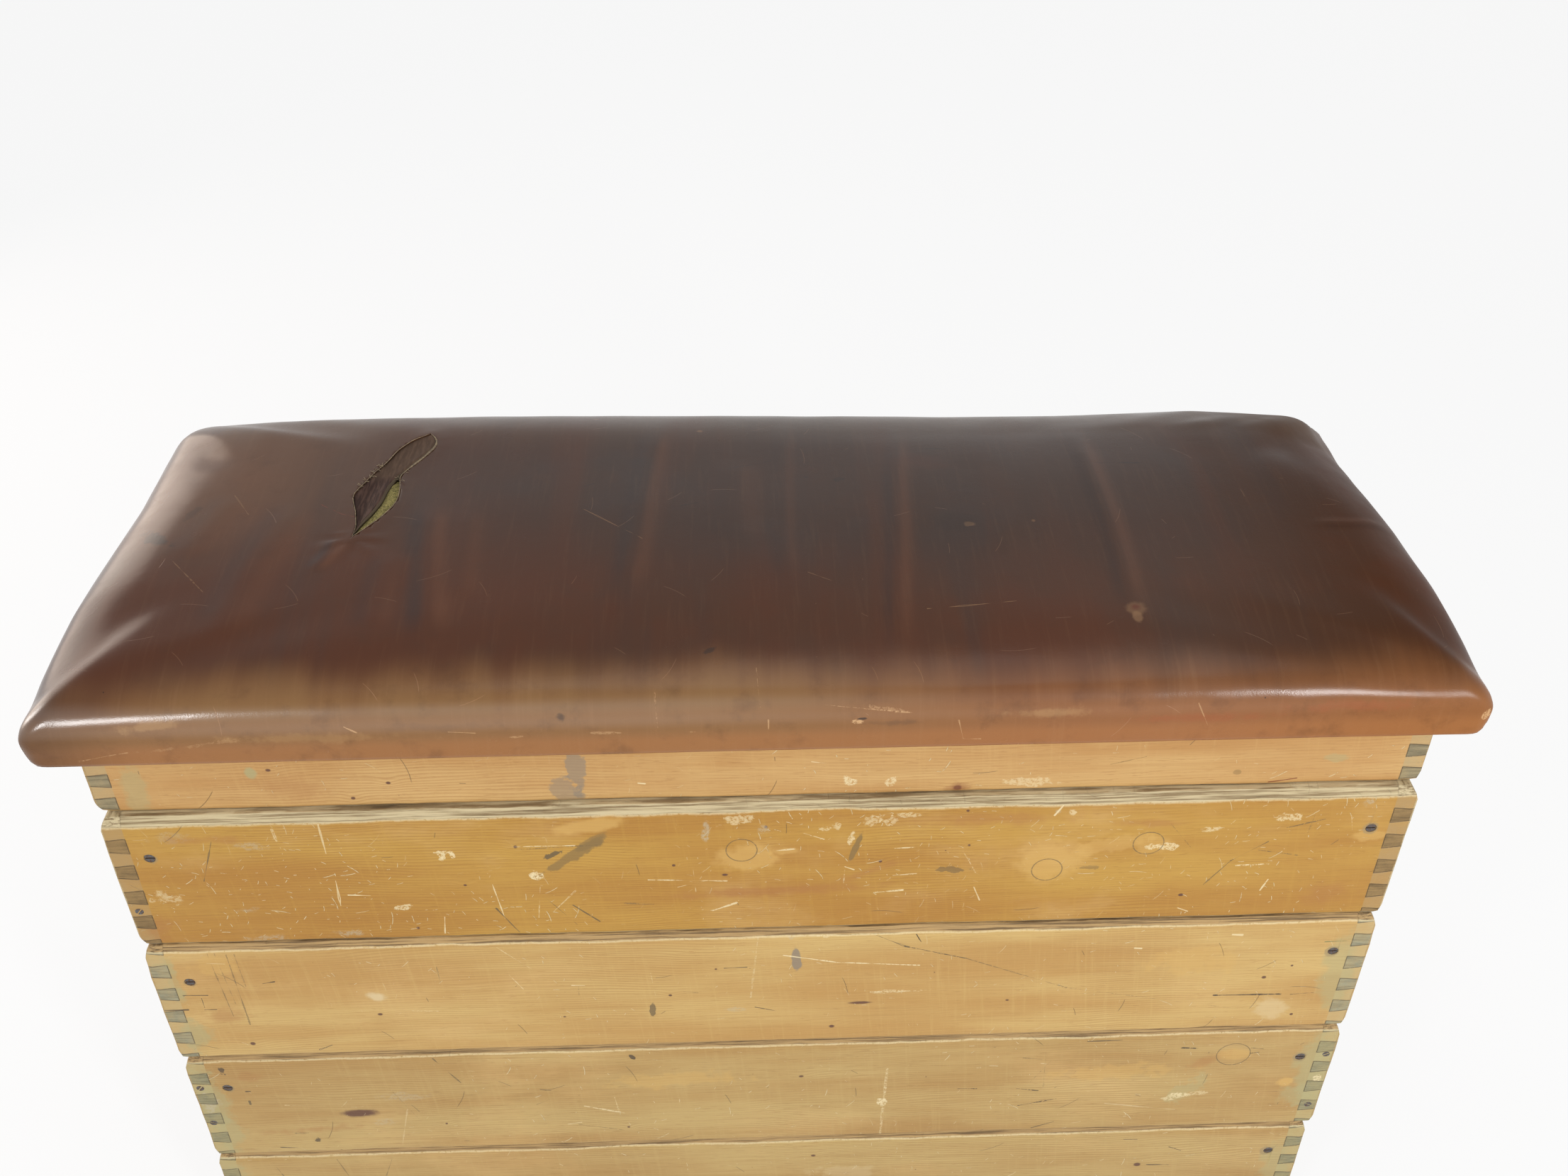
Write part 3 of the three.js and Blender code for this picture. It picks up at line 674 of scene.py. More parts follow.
# x, z, half width, half height
KNOTS = {
    TOP: [(205, 17, 6, 5), (-519, 66, 4, 3), (-398, 44, 3, 2.5), (-438, 23, 3, 2.5)],
    "section_2": [
        (-273, -46, 3, 3), (-103, -81, 2.6, 2.4), (-1, -25, 2.4, 3), (125, -83, 2.6, 2.6),
        (-47, -98, 4, 2.4), (217, -8, 2.4, 2), (222, -61, 2, 2), (-334, -104, 2.4, 2),
        (-395, -172, 2.6, 2.6), (470, -150, 4, 3), (-434, 4, 4, 5),
    ],
    "section_3": [
        (-458, -117, 4, 3), (-617, -165, 4, 3.6), (77, -163, 4.4, 3.4), (-242, -131, 2.2, 1.6),
        (-115, -97, 2.6, 2.2), (-60, -52, 2, 2), (287, -123, 2.8, 2), (622, -74, 2, 2),
        (639, -165, 2.4, 2.4), (592, -94, 3.4, 3), (110, -120, 16, 3.4),
    ],
    "section_4": [(-514, -109, 26, 10), (-409, -136, 2, 2), (-180, -155, 2.4, 2), (40, -60, 4, 3)],
    "base": [(493, -73, 6, 5), (-300, -150, 5, 4), (60, -30, 4, 3)],
}

# x, z and radius of the round wooden plugs
PLUGS = {"section_2": [(312, -103, 17), (421, -65, 17), (-28, -60, 17)],
         "section_4": [(580, -41, 21)]}


def mark_colours(timber):
    return {
        "slate": paint(128, 116, 100),
        "silver": paint(178, 168, 142),
        "olive": paint(124, 98, 52),
        "sage": paint(164, 156, 110),
        "pale": paint(208, 188, 146),
        "golden": paint(200, 160, 88),
        "shade": paint(158, 104, 50),
        "rust": paint(126, 70, 34),
        "bruise": paint(142, 122, 86),
        "green": paint(70, 104, 62),
        "dent": as_colour(timber.dent),
        "grime": as_colour(timber.grime),
        "chalk_and_glint": as_colour(timber.chalk_and_glint),
    }


def shared_noise(g, place):
    """The unevenness that all marks of one face share."""
    sway = g.minus(g.noise(place, 30.0, 2.0), 0.5)
    rough = g.minus(g.noise(place, 90.0, 4.0, 0.65), 0.5)
    broad = g.minus(g.noise(place, 34.0, 2.0), 0.5)
    rough = g.line(broad, 1.3, rough)
    worn = g.noise(place, 230.0, 4.0, 0.8)
    return {"Rough": rough}, {"Sway": sway, "Worn": worn}


# How softly the marks of a colour end, where they don't end sharply, and the colours that flake
SOFTNESS = {"shade": 0.9, "sage": 0.5, "silver": 0.6, "pale": 0.6, "golden": 0.5, "straw": 0.9,
            "warm": 0.9, "soot": 0.9, "scuff": 0.5, "ember": 0.9, "rust": 0.7}
FLAKING = ("chalk_and_glint", "silver")


def lay_blot(g, colour, place, unevens, blot, colours, here):
    x, z, half_width, half_height, turn, name, strength, ragged = blot
    inputs = {"Vector": place, "Centre": (x * MM, z * MM, 0), "Turn": math.radians(turn)}
    inputs.update({**unevens[0], "Ragged": ragged, "Soft": SOFTNESS.get(name, 0.25)})
    inputs["Half Size"] = (half_width * MM, half_height * MM, 1)
    mask = g.group(GROUPS["blot"], inputs)["Mask"]
    if name in FLAKING:
        mask = g.times(mask, g.ramp(unevens[1]["Worn"], 0.42, 0.52))
    amount = g.times(mask, strength, here)
    return g.mix(amount, colour, colours[name])


def lay_stroke(g, colour, place, unevens, stroke, colours, here):
    x0, z0, x1, z1, width, name, strength, broken = stroke
    inputs = {"Vector": place, "From": (x0 * MM, z0 * MM, 0), "To": (x1 * MM, z1 * MM, 0)}
    inputs.update({**unevens[1], "Width": width * MM, "Broken": broken})
    mask = g.group(GROUPS["stroke"], inputs)["Mask"]
    amount = g.times(mask, strength, here)
    return g.mix(amount, colour, colours[name])


# A shader holds only so many marks, so a much marked board is covered in equal stretches
STRETCHES = {TOP: 1, "section_2": 5, "section_3": 3, "section_4": 3, "base": 1}


def screw_halos(section):
    """The bruised wood round the two screws of a front board."""
    if section == TOP:
        return []
    _, corner = section_box(section)
    halos = []
    for side in ("left", "right"):
        low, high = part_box("%s_front_%s_screw" % (section, side))
        x, z = (low.x + high.x) / 2, (low.z + high.z) / 2 - (corner.z - HEAD_DROP)
        halos.append((x / MM, z / MM, 9, 8.5, 0, "bruise", 0.6, 1.0))
    return halos


def marks_between(section, low, high):
    """The blots, strokes, knots and plugs that touch a stretch of a front board."""

    def touching(left, right):
        return right > low and left < high

    blots = BLOTS[section] + screw_halos(section)
    blots = [m for m in blots if touching(m[0] - 1.5 * m[2] - 9, m[0] + 1.5 * m[2] + 9)]
    strokes = [m for m in STROKES[section] if touching(min(m[0], m[2]) - 9, max(m[0], m[2]) + 9)]
    knots = [m for m in KNOTS[section] if touching(m[0] - 9 * m[2] - 9, m[0] + 9 * m[2] + 9)]
    plugs = [m for m in PLUGS.get(section, ()) if touching(m[0] - m[2] - 9, m[0] + m[2] + 9)]
    return {"blots": blots, "strokes": strokes, "knots": knots, "plugs": plugs}


def knots_on(g, place, uneven, knots):
    """How far knots bend the rings, and the dark heart of each."""
    bend, heart = 0.0, 0.0
    for x, z, half_width, half_height in knots:
        inputs = {"Vector": place, "Centre": (x * MM, z * MM, 0), **uneven}
        inputs["Half Size"] = (half_width * MM, half_height * MM, 1)
        blot = g.group(GROUPS["blot"], {**inputs, "Ragged": 0.5, "Soft": 0.5})
        push = g.ramp(blot["Distance"], 9.0, 0.0)
        push = g.times(push, push, 0.004)
        bend = g.plus(bend, push)
        heart = g.most(heart, blot["Mask"])
    return bend, heart


def marks_on(g, place, unevens, marks, colour, timber, outside):
    """The colour with the blots, strokes and plugs of a front board laid over it."""
    colours = mark_colours(timber)
    for blot in marks["blots"]:
        colour = lay_blot(g, colour, place, unevens, blot, colours, outside)
    for stroke in marks["strokes"]:
        colour = lay_stroke(g, colour, place, unevens, stroke, colours, outside)
    for x, z, radius in marks["plugs"]:
        away = g.vector("LENGTH", g.vector("SUBTRACT", place, (x * MM, z * MM, 0)))
        rim = g.absolute(g.minus(away, radius * MM))
        ring = g.times(g.ramp(rim, 0.0010, 0.0003), g.ramp(unevens[1]["Worn"], 0.3, 0.5))
        colour = g.tint(colour, ring, 0.7, colours["dent"])
    return colour


def plane_place(g, x, z, section_low, section_high):
    """A place on a front board, from the middle and the visible top edge of its frame."""
    middle = (section_low.x + section_high.x) / 2
    under_top = section_low.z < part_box("section_2_front_board")[0].z + 0.1
    top = (section_high.z if under_top else section_low.z) - HEAD_DROP
    return g.join(g.minus(x, middle), g.minus(z, top), 0.0)


# How far the bare wood reaches below the head of each frame
HEAD_WEAR = {"section_2": 0.0125, "section_3": 0.0085, "section_4": 0.0085, "base": 0.008}

# Colours of the sawn pins and of the wood between them
PIN_TONES = {
    TOP: (paint(146, 134, 104), paint(174, 152, 108)),
    "section_2": (paint(136, 110, 70), paint(164, 134, 86)),
    "section_3": (paint(152, 148, 122), paint(182, 158, 108)),
    "section_4": (paint(148, 142, 110), paint(176, 160, 110)),
    "base": (paint(148, 142, 110), paint(174, 158, 108)),
}


def pin_sizes(section):
    """Spacing of a frame's pins, height of the lowest, and their half heights at tip and root."""
    low, _ = section_box(section)
    if section == TOP:
        return 0.033, low.z + 0.014, 0.00726, 0.00908
    return 0.04, low.z, 0.0088, 0.011


def joint_lines(g, section, off_x, off_y, z):
    """The dark lines round the dovetails and the zone that the joint covers."""
    thickness = 0.023
    pitch, lowest, tip, root = pin_sizes(section)
    turns = g.math("FRACT", g.plus(g.math("DIVIDE", g.minus(z, lowest), pitch), 0.5))
    rise = g.times(g.absolute(g.minus(turns, 0.5)), pitch)
    half = g.ramp(off_x, 0.0, thickness, tip, root)
    past = g.minus(rise, half)
    zone_x = g.ramp(off_x, thickness + 0.0006, thickness)
    zone_y = g.ramp(off_y, thickness + 0.0006, thickness)
    slanted = g.ramp(g.absolute(past), 0.0011, 0.0003)
    near_x = g.ramp(g.absolute(g.minus(off_x, thickness)), 0.0009, 0.0002)
    near_y = g.ramp(g.absolute(g.minus(off_y, thickness)), 0.0009, 0.0002)
    near_x = g.times(near_x, g.math("LESS_THAN", past, 0.0))
    near_y = g.times(near_y, g.math("GREATER_THAN", past, 0.0))
    zone = g.times(zone_x, zone_y)
    lines = g.most(g.times(slanted, zone), g.times(near_x, zone_y))
    return g.most(lines, g.times(near_y, zone_x)), zone


def tinted(tone, shares):
    """A tone with its red, green and blue taken by their shares."""
    return tuple(min(1, c * share) for c, share in zip(tone, shares))


class BoardPlace:
    """Where a shaded point of a board lies, how far it is from the edges, and the noise there."""

    def __init__(self, g, section, lengthwise):
        low, high = section_box(section)
        self.at = g.add("ShaderNodeTexCoord").outputs["Object"]
        self.x, self.y, self.z = g.parts(self.at)[:3]
        self.along, self.across = (self.x, self.y) if lengthwise else (self.y, self.x)
        number = 1 + list(SECTIONS + (TOP,)).index(section)
        self.seed = 3.7 * number + (0.0 if lengthwise else 1.9)
        self.face = plane_place(g, self.along, self.z, low, high)
        self.unevens = shared_noise(g, self.face)
        self.worn = self.unevens[1]["Worn"]
        self.dirt = g.ramp(g.noise(self.at, 34.0, 4.0, 0.65), 0.34, 0.62)
        self.up = g.minus(high.z, self.z)
        self.down = g.minus(self.z, low.z)
        middle_x, middle_y = (high.x + low.x) / 2, (high.y + low.y) / 2
        self.off_x = g.minus((high.x - low.x) / 2, g.absolute(g.minus(self.x, middle_x)))
        self.off_y = g.minus((high.y - low.y) / 2, g.absolute(g.minus(self.y, middle_y)))


def pine_tones(g, here, tone, grain, heart):
    """Varnished pine: its figure, patches, rings, fibres, scrapes, pores and knots."""
    along, across, z, seed = here.along, here.across, here.z, here.seed
    dark = tinted(tone, (0.62, 0.5, 0.36))
    brown = tinted(tone, (0.86, 0.76, 0.62))
    gold = tinted(tone, (1.06, 1.12, 1.16))
    colour = g.mix(g.ramp(grain["Figure"], 0.34, 0.68), brown, gold)
    patch = g.noise(g.join(g.times(along, 0.6), across, z), 7.0, 5.0, 0.62)
    colour = g.tint(colour, g.ramp(patch, 0.5, 0.7), 0.35, paint(208, 172, 112))
    colour = g.tint(colour, g.ramp(patch, 0.5, 0.32), 0.3, brown)
    lined = g.ramp(g.noise(g.join(g.times(along, 1.2), across, z), 3.4, 2.0), 0.42, 0.62)
    colour = g.tint(colour, grain["Ring"], g.line(lined, 0.3, 0.12), dark)
    colour = g.tint(colour, g.ramp(grain["Fibre"], 0.45, 0.72), 0.32, dark)
    scrape_at = g.join(g.line(z, 14.0, g.times(along, 160.0)), seed, g.times(z, 7.0))
    scrape = g.ramp(g.noise(scrape_at, 1.0, 4.0, 0.7), 0.5, 0.74)
    colour = g.tint(colour, scrape, 0.3, gold)
    pore_at = g.join(g.times(along, 55.0), seed, g.times(z, 600.0))
    pores = g.ramp(g.noise(pore_at, 1.0, 2.0), 0.6, 0.7)
    colour = g.tint(colour, pores, 0.35, dark)
    return g.tint(colour, heart, 0.9, paint(84, 46, 32))


def speckled(g, colour, at, scale, share, radii, strength, tone):
    """The colour with specks in a share of the cells of a scaled net."""
    cells_at = g.vector("SCALE", at, scale=scale)
    cells = g.add("ShaderNodeTexVoronoi", {"Vector": cells_at, "Scale": 1.0}).outputs
    rare = g.math("LESS_THAN", g.parts(cells["Color"])[0], share)
    return g.tint(colour, g.times(g.ramp(cells["Distance"], *radii), rare), strength, tone)


def pine_scratches(g, here, colour, busy, timber):
    """The colour with scratches, gouges and specks over it, and the first two's masks."""
    cells = {"Vector": g.join(here.along, here.z, 0.0), "Length": 0.42}
    pale, thin, gouge = [
        g.group(GROUPS["scratches"], {**cells, "Cell": cell, "Width": width, "Share": share,
                                      "Seed": here.seed + shift})["Mask"]
        for cell, width, share, shift in ((0.03, 0.0014, 0.4 * busy, 0.0),
                                          (0.011, 0.0012, 0.42 * busy, 1.7),
                                          (0.055, 0.0011, 0.16, 4.1))
    ]
    scuffed = g.ramp(g.noise(here.at, 6.0, 3.0), 0.36, 0.6)
    pale = g.times(g.most(pale, thin), scuffed, g.ramp(here.worn, 0.36, 0.5))
    colour = g.tint(colour, pale, 0.75, as_colour(timber.chalk_and_glint))
    colour = g.tint(colour, gouge, 0.5, as_colour(timber.dent))
    colour = speckled(g, colour, here.face, 46.0, 0.1, (0.055, 0.03), 0.8, paint(88, 54, 30))
    return colour, pale, gouge


def sawn_tones(g, here, pins, tails):
    """The dull end grain of the pins, with the varnish of the tails left in places."""
    rings_at = g.join(g.times(here.x, 30.0), g.times(here.y, 30.0), g.times(here.z, 420.0))
    lines = g.noise(rings_at, 1.0, 3.0, 0.6)
    tone = g.mix(g.ramp(lines, 0.35, 0.65), tinted(pins, (0.62, 0.62, 0.62)), pins)
    return g.tint(tone, here.dirt, 0.4, tails)


def worn_edges(g, here, section, colour, timber):
    """The colour with bare wood along the worn edges, the mask of it and its strands."""
    along, across, z = here.along, here.across, here.z
    strand_at = g.join(g.times(along, 9.0), g.times(across, 130.0), g.times(z, 560.0))
    strands = g.noise(strand_at, 1.0, 4.0, 0.65)
    pale_wood, dark_wood = as_colour(timber.bare), paint(132, 112, 80)
    if section != "section_2":
        pale_wood, dark_wood = paint(176, 144, 96), paint(104, 80, 50)
    bare = g.mix(g.ramp(strands, 0.38, 0.58), dark_wood, pale_wood)
    bare = g.tint(bare, g.ramp(strands, 0.36, 0.3), 0.8, paint(66, 52, 36))
    band_at = g.join(g.times(along, 0.45), across, g.times(z, 0.6))

    def band(vector, distance, reach, ragged):
        inputs = {"Vector": vector, "Distance": distance, "Reach": reach, "Ragged": ragged}
        return g.group(GROUPS["wear"], inputs)["Mask"]

    worn = 0.0
    if section != TOP:
        reach = HEAD_WEAR[section]
        worn = band(band_at, here.up, reach, 0.22)
        # A pale line along the lower edge of the worn band: partly scuffed varnish, partly a
        # painted highlight on the arris
        rim = band(band_at, here.up, reach + 0.0022, 0.22)
        rim = g.times(rim, g.ramp(here.worn, 0.32, 0.5))
        colour = g.tint(colour, rim, 0.7, as_colour(timber.chalk_and_glint))
        colour = g.tint(colour, worn, 0.94, bare)
    foot = band(band_at, here.down, 0.0028, 0.5)
    colour = g.tint(colour, foot, 0.75, g.mix(strands, bare, pale_wood))
    tip = band(here.at, g.most(here.off_x, here.off_y), 0.002, 0.9)
    colour = g.tint(colour, tip, 0.5, pale_wood)
    return colour, g.most(g.most(worn, foot), tip), strands


def pine_material(name, section, tone, timber, lengthwise, marks=None):
    """Varnished pine of one frame: its grain, worn edges, sawn ends and marks."""
    material, g, shader = new_material(name)
    here = BoardPlace(g, section, lengthwise)
    grime = as_colour(timber.grime)
    bend, heart = knots_on(g, here.face, here.unevens[0], marks["knots"]) if marks else (0.0, 0.0)
    grain_at = g.join(g.plus(here.along, here.seed), here.across, g.plus(here.z, here.seed * 0.31))
    grain = g.group(GROUPS["grain"], {"Vector": grain_at, "Bend": bend})
    colour = pine_tones(g, here, tone, grain, heart)
    busy = 1.0 if section == "section_2" and marks else 0.3
    colour, pale, gouge = pine_scratches(g, here, colour, busy, timber)
    lines, zone = joint_lines(g, section, here.off_x, here.off_y, here.z)
    pins, tails = PIN_TONES[section]
    colour = g.tint(colour, zone, g.line(here.dirt, 0.3, 0.55), tails)
    if marks:
        outside = g.math("LESS_THAN", here.y, section_box(section)[0].y + 0.02)
        colour = marks_on(g, here.face, here.unevens, marks, colour, timber, outside)
    sawn = g.add("ShaderNodeAttribute", attribute_name="sawn_end").outputs["Fac"]
    colour = g.mix(sawn, colour, sawn_tones(g, here, pins, tails))
    broken = g.ramp(here.worn, 0.3, 0.52)
    colour = g.tint(colour, g.times(lines, broken), 0.62, grime)
    colour, worn, strands = worn_edges(g, here, section, colour, timber)
    # Painted shadow: a dark line along the foot of each board, where it sits on what is below
    seam_shadow = g.ramp(g.absolute(here.down), 0.0009, 0.0003)
    g.plug(shader.inputs["Base Color"], g.tint(colour, seam_shadow, 0.75, grime))
    open_wood = g.most(worn, sawn)
    rough = g.line(open_wood, 0.35, 0.46)
    g.plug(shader.inputs["Roughness"], g.line(grain["Fibre"], 0.12, rough))
    height = g.line(grain["Fibre"], 0.25, g.times(grain["Ring"], 0.06))
    height = g.minus(height, g.times(g.most(g.most(pale, gouge), lines), 0.6))
    height = g.plus(height, g.times(open_wood, g.times(strands, 1.6)))
    g.plug(shader.inputs["Normal"], bumped(g, height, 0.0009, 0.8))
    return material


def front_pines(section, tone, timber):
    """The materials of a front board, one for each stretch of it from left to right."""
    low, high = section_box(section)
    half = (high.x - low.x) / 2 / MM
    count = STRETCHES[section]
    pines = []
    for k in range(count):
        marks = marks_between(section, -half + 2 * half * k / count,
                              -half + 2 * half * (k + 1) / count)
        name = "pine_front_%s_%d" % (section, k + 1)
        pines.append(pine_material(name, section, tone, timber, True, marks))
    return pines


def inner_wood_material(timber):
    """Plain unvarnished wood for posts, planks and battens."""
    material, g, shader = new_material("inner_wood")
    at = g.add("ShaderNodeTexCoord").outputs["Object"]
    grain = g.group(GROUPS["grain"], {"Vector": at, "Ring Width": 0.008})
    tone = as_colour(timber.inner)
    dark = tinted(tone, (0.7, 0.6, 0.45))
    colour = g.tint(tone, grain["Ring"], 0.45, dark)
    colour = g.tint(colour, g.ramp(grain["Fibre"], 0.4, 0.7), 0.3, dark)
    dust_and_sheen = g.ramp(g.noise(at, 7.0, 4.0), 0.45, 0.7)
    colour = g.tint(colour, dust_and_sheen, 0.35, paint(150, 138, 118))
    g.plug(shader.inputs["Base Color"], colour)
    g.plug(shader.inputs["Roughness"], g.line(grain["Fibre"], 0.15, 0.68))
    g.plug(shader.inputs["Normal"], bumped(g, grain["Fibre"], 0.0004, 0.6))
    return material


def steel_material(fasteners):
    """Dull steel with rust on it."""
    material, g, shader = new_material("old_steel")
    at = g.add("ShaderNodeTexCoord").outputs["Object"]
    rusty = g.ramp(g.noise(at, 420.0, 4.0, 0.7), 0.42, 0.62)
    colour = g.mix(rusty, as_colour(fasteners.steel), as_colour(fasteners.rust))
    g.plug(shader.inputs["Base Color"], colour)
    g.plug(shader.inputs["Metallic"], g.minus(0.85, g.times(rusty, 0.7)))
    g.plug(shader.inputs["Roughness"], g.line(rusty, 0.35, 0.42))
    g.plug(shader.inputs["Normal"], bumped(g, rusty, 0.0003, 0.5))
    return material


# Boards


def merged_copy(node):
    """A CAD node's mesh with its loose triangles joined and its flat faces made whole."""
    bm = bmesh.new()
    bm.from_mesh(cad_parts[node].data)
    bmesh.ops.remove_doubles(bm, verts=bm.verts, dist=0.01 * MM)
    bmesh.ops.dissolve_limit(bm, angle_limit=0.002, verts=bm.verts[:], edges=bm.edges[:])
    return bm


def cut_along(bm, axis, places, wanted=None):
    """Cuts the wanted faces at each place along one axis."""
    normal = Vector((0, 0, 0))
    normal[axis] = 1
    faces = [f for f in bm.faces if wanted is None or wanted(f)]
    for place in sorted(places):
        point = Vector((0, 0, 0))
        point[axis] = place
        edges = {e for f in faces for e in f.edges}
        verts = {v for f in faces for v in f.verts}
        geometry = list(verts) + list(edges) + faces
        made = bmesh.ops.bisect_plane(
            bm, geom=geometry, dist=0.01 * MM, plane_co=point, plane_no=normal
        )
        faces = [
            g
            for g in made["geom"]
            if isinstance(g, bmesh.types.BMFace) and g.calc_center_median()[axis] > place
        ]


def steps_between(low, high, step):
    count = max(1, round((high - low) / step))
    return [low + (high - low) * k / count for k in range(1, count)]


EDGE_CUTS = (0.0018, 0.004, 0.0065, 0.0095, 0.013, 0.017, 0.022)


def mark_sawn_ends(bm, across, outer):
    """Sets sawn_end on the faces that look out along the grain, before any wear."""
    layer = bm.faces.layers.float.new("sawn_end")
    for face in bm.faces:
        turned = abs(face.normal[across]) > 0.8
        close = max(abs(v.co[across]) for v in face.verts) > outer - 0.012
        face[layer] = 1.0 if turned and close else 0.0


def wave(x, y, z):
    return noise.noise(Vector((x, y, z)))


def bite(along, down, seed, reach):
    """How far an edge is eaten back, as a share of the bite depth."""
    fade = max(0.0, 1 - down / reach)
    if fade <= 0:
        return 0.0
    broad = 0.5 + 0.9 * wave(along * 14, 0, seed)
    fine = 0.55 * wave(along * 55, down * 90, seed + 7)
    chip = max(0.0, wave(along * 8, down * 20, seed + 13) - 0.18) * 3.2
    return fade * max(0.0, broad + fine + chip)


# section, side of X, whether at the head, length and height of a corner knocked off the frame
KNOCKS = (
    (TOP, -1, False, 0.017, 0.020), (TOP, 1, False, 0.014, 0.016),
    ("section_2", -1, False, 0.016, 0.024), ("section_2", 1, False, 0.008, 0.014),
    ("section_3", -1, False, 0.006, 0.010), ("section_3", 1, True, 0.008, 0.014),
    ("section_4", -1, True, 0.010, 0.018),
)


def knocked(section, local, half_length, height):
    """The X of a point after the frame's knocked corners are taken off."""
    x = local.x
    for name, side, head, length, rise in KNOCKS:
        if name != section or side * x < half_length - length:
            continue
        edge = height - local.z if head else local.z
        if edge > rise:
            continue
        reach = length * math.sqrt(max(0.0, 1 - ((rise - edge) / rise) ** 2))
        limit = half_length - length + reach
        near = clamped((0.02 - local.y) / 0.1)
        x = side * (abs(x) - max(0.0, abs(x) - limit) * near)
    return x


def worn_place(local, section, half, height, seed, timber):
    """Where a point of a sharp frame lies once the frame is worn. Nothing moves outwards."""
    skin = timber.skin_depth
    depth = timber.bite_depth
    reach = timber.bite_reach
    moved = local.copy()
    head = height - local.z
    foot = local.z
    for axis, other in ((1, 0), (0, 1)):
        inward = half[axis] - abs(local[axis])
        weight = max(0.0, 1 - inward / skin)
        if weight <= 0:
            continue
        side = 1 if local[axis] > 0 else -1
        along = local[other] + 5 * side
        eaten = 0.0
        if section != TOP:
            eaten += bite(along, head, seed, reach)
        eaten += 0.6 * bite(along, foot, seed + 31, reach * 0.7)
        corner = half[other] - abs(local[other])
        eaten += 0.5 * bite(local.z, corner, seed + 57 + side, 0.006)
        moved[axis] -= side * depth * weight * eaten
        if section != TOP:
            sag = max(0.0, 0.45 + 0.9 * wave(along * 30, 0, seed + 3))
            moved.z -= 0.0022 * weight * (max(0.0, 1 - head / 0.006) * sag)
        lift = max(0.0, 1 - foot / 0.005) * max(0.0, 0.3 + 0.9 * wave(along * 26, 4, seed + 9))
        moved.z += 0.0016 * weight * lift
    moved.x = knocked(section, moved, half.x, height)
    return moved


def worn_board(section, end, lengthwise, timber, materials):
    """One board of one frame, cut finely near its edges and worn back there."""
    kind = "_board" if lengthwise else "_end_board"
    node = section + "_" + end + kind
    low, high = section_box(section)
    middle = (low + high) / 2
    half = (high - low) / 2
    bm = merged_copy(node)
    bmesh.ops.translate(bm, verts=bm.verts, vec=-Vector((middle.x, middle.y, low.z)))
    height = high.z - low.z
    long_axis, thick_axis = (0, 1) if lengthwise else (1, 0)
    side = 1 if end in ("rear", "right") else -1
    mark_sawn_ends(bm, long_axis, half[long_axis])
    cut_along(bm, long_axis, steps_between(-half[long_axis], half[long_axis], timber.cut_step))
    skins = [side * (half[thick_axis] - share * timber.skin_depth) for share in (0.45, 1.0)]
    cut_along(bm, thick_axis, skins)
    near_end = half[long_axis] - 0.026

    def in_skin(face):
        at = face.calc_center_median()
        outer = side * at[thick_axis] > half[thick_axis] - timber.skin_depth
        return outer or abs(at[long_axis]) > near_end

    levels = [*EDGE_CUTS, *(height - cut for cut in EDGE_CUTS)]
    cut_along(bm, 2, levels, in_skin)
    seed = 11.3 * (1 + list(SECTIONS + (TOP,)).index(section))
    for vert in bm.verts:
        vert.co = worn_place(vert.co, section, half, height, seed, timber)
    bmesh.ops.translate(bm, verts=bm.verts, vec=Vector((middle.x, middle.y, low.z)))
    mesh = mesh_from(bm, node.replace("board", "timber"))
    board = add_piece(mesh.name, mesh, materials[0])
    for material in materials[1:]:
        mesh.materials.append(material)
    for face in mesh.polygons:
        reach = (face.center[long_axis] - low[long_axis]) / (2 * half[long_axis])
        face.material_index = min(len(materials) - 1, int(reach * len(materials)))
    mesh.set_sharp_from_angle(angle=math.radians(28))
    finish_piece(board, body_of(section), "long_board" if lengthwise else "end_board", node)
    return board


class VAULT_OT_frames(bpy.types.Operator):
    """Makes the worn boards of all five frames"""

    bl_idname = "vault.frames"
    bl_label = "Worn Frames"

    def execute(self, context):
        timber = context.scene.vault_timber
        tones = {TOP: as_colour(timber.honey), "section_2": as_colour(timber.amber),
                 "section_3": as_colour(timber.straw), "section_4": as_colour(timber.tan),
                 "base": as_colour(timber.tan)}
        for section, tone in tones.items():
            worn_board(section, "front", True, timber, front_pines(section, tone, timber))
            rear = pine_material("pine_rear_" + section, section, tone, timber, True)
            worn_board(section, "rear", True, timber, [rear])
            ends = pine_material("pine_end_" + section, section, tone, timber, False)
            for end in ENDS:
                worn_board(section, end, False, timber, [ends])
        return {"FINISHED"}


class VAULT_OT_inner_timber(bpy.types.Operator):
    """Finishes the posts, deck planks and battens"""

    bl_idname = "vault.inner_timber"
    bl_label = "Inner Timber"

    def execute(self, context):
        wood = inner_wood_material(context.scene.vault_timber)
        for name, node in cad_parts.items():
            if name.endswith("_post") or name.startswith("deck_"):
                node.material_slots[0].material = wood
        return {"FINISHED"}


# Leather and felt


def between(places, value):
    """A height read off a broken line of (place, height) pairs."""
    if value <= places[0][0]:
        return places[0][1]
    for (a, low), (b, high) in zip(places, places[1:]):
        if value <= b:
            return low + (high - low) * (value - a) / (b - a)
    return places[-1][1]


# How far the stuffing stands out past the even form, in mm, at places along Y or X in mm
END_BULGE = {
    -1: ((-280, 7), (-200, 10), (-100, 9), (0, 2), (100, -6), (250, -7)),
    1: ((-280, 5), (-200, 8), (-100, 7), (0, 2), (100, -8), (200, -16), (270, -18)),
}
REAR_RISE = ((-700, -1), (-600, 6), (-330, 4), (0, -2), (300, -6), (420, -8), (560, -4), (700, -14))

# How far the front corners sag, and how far from the pad's middle that starts and then grows
CORNER_DROP = 0.009
CORNER_ALONG = (0.5, 0.22)
CORNER_ACROSS = (0.1, 0.14)

# How far in from the ends the stuffing bulges
END_REACH = 0.16

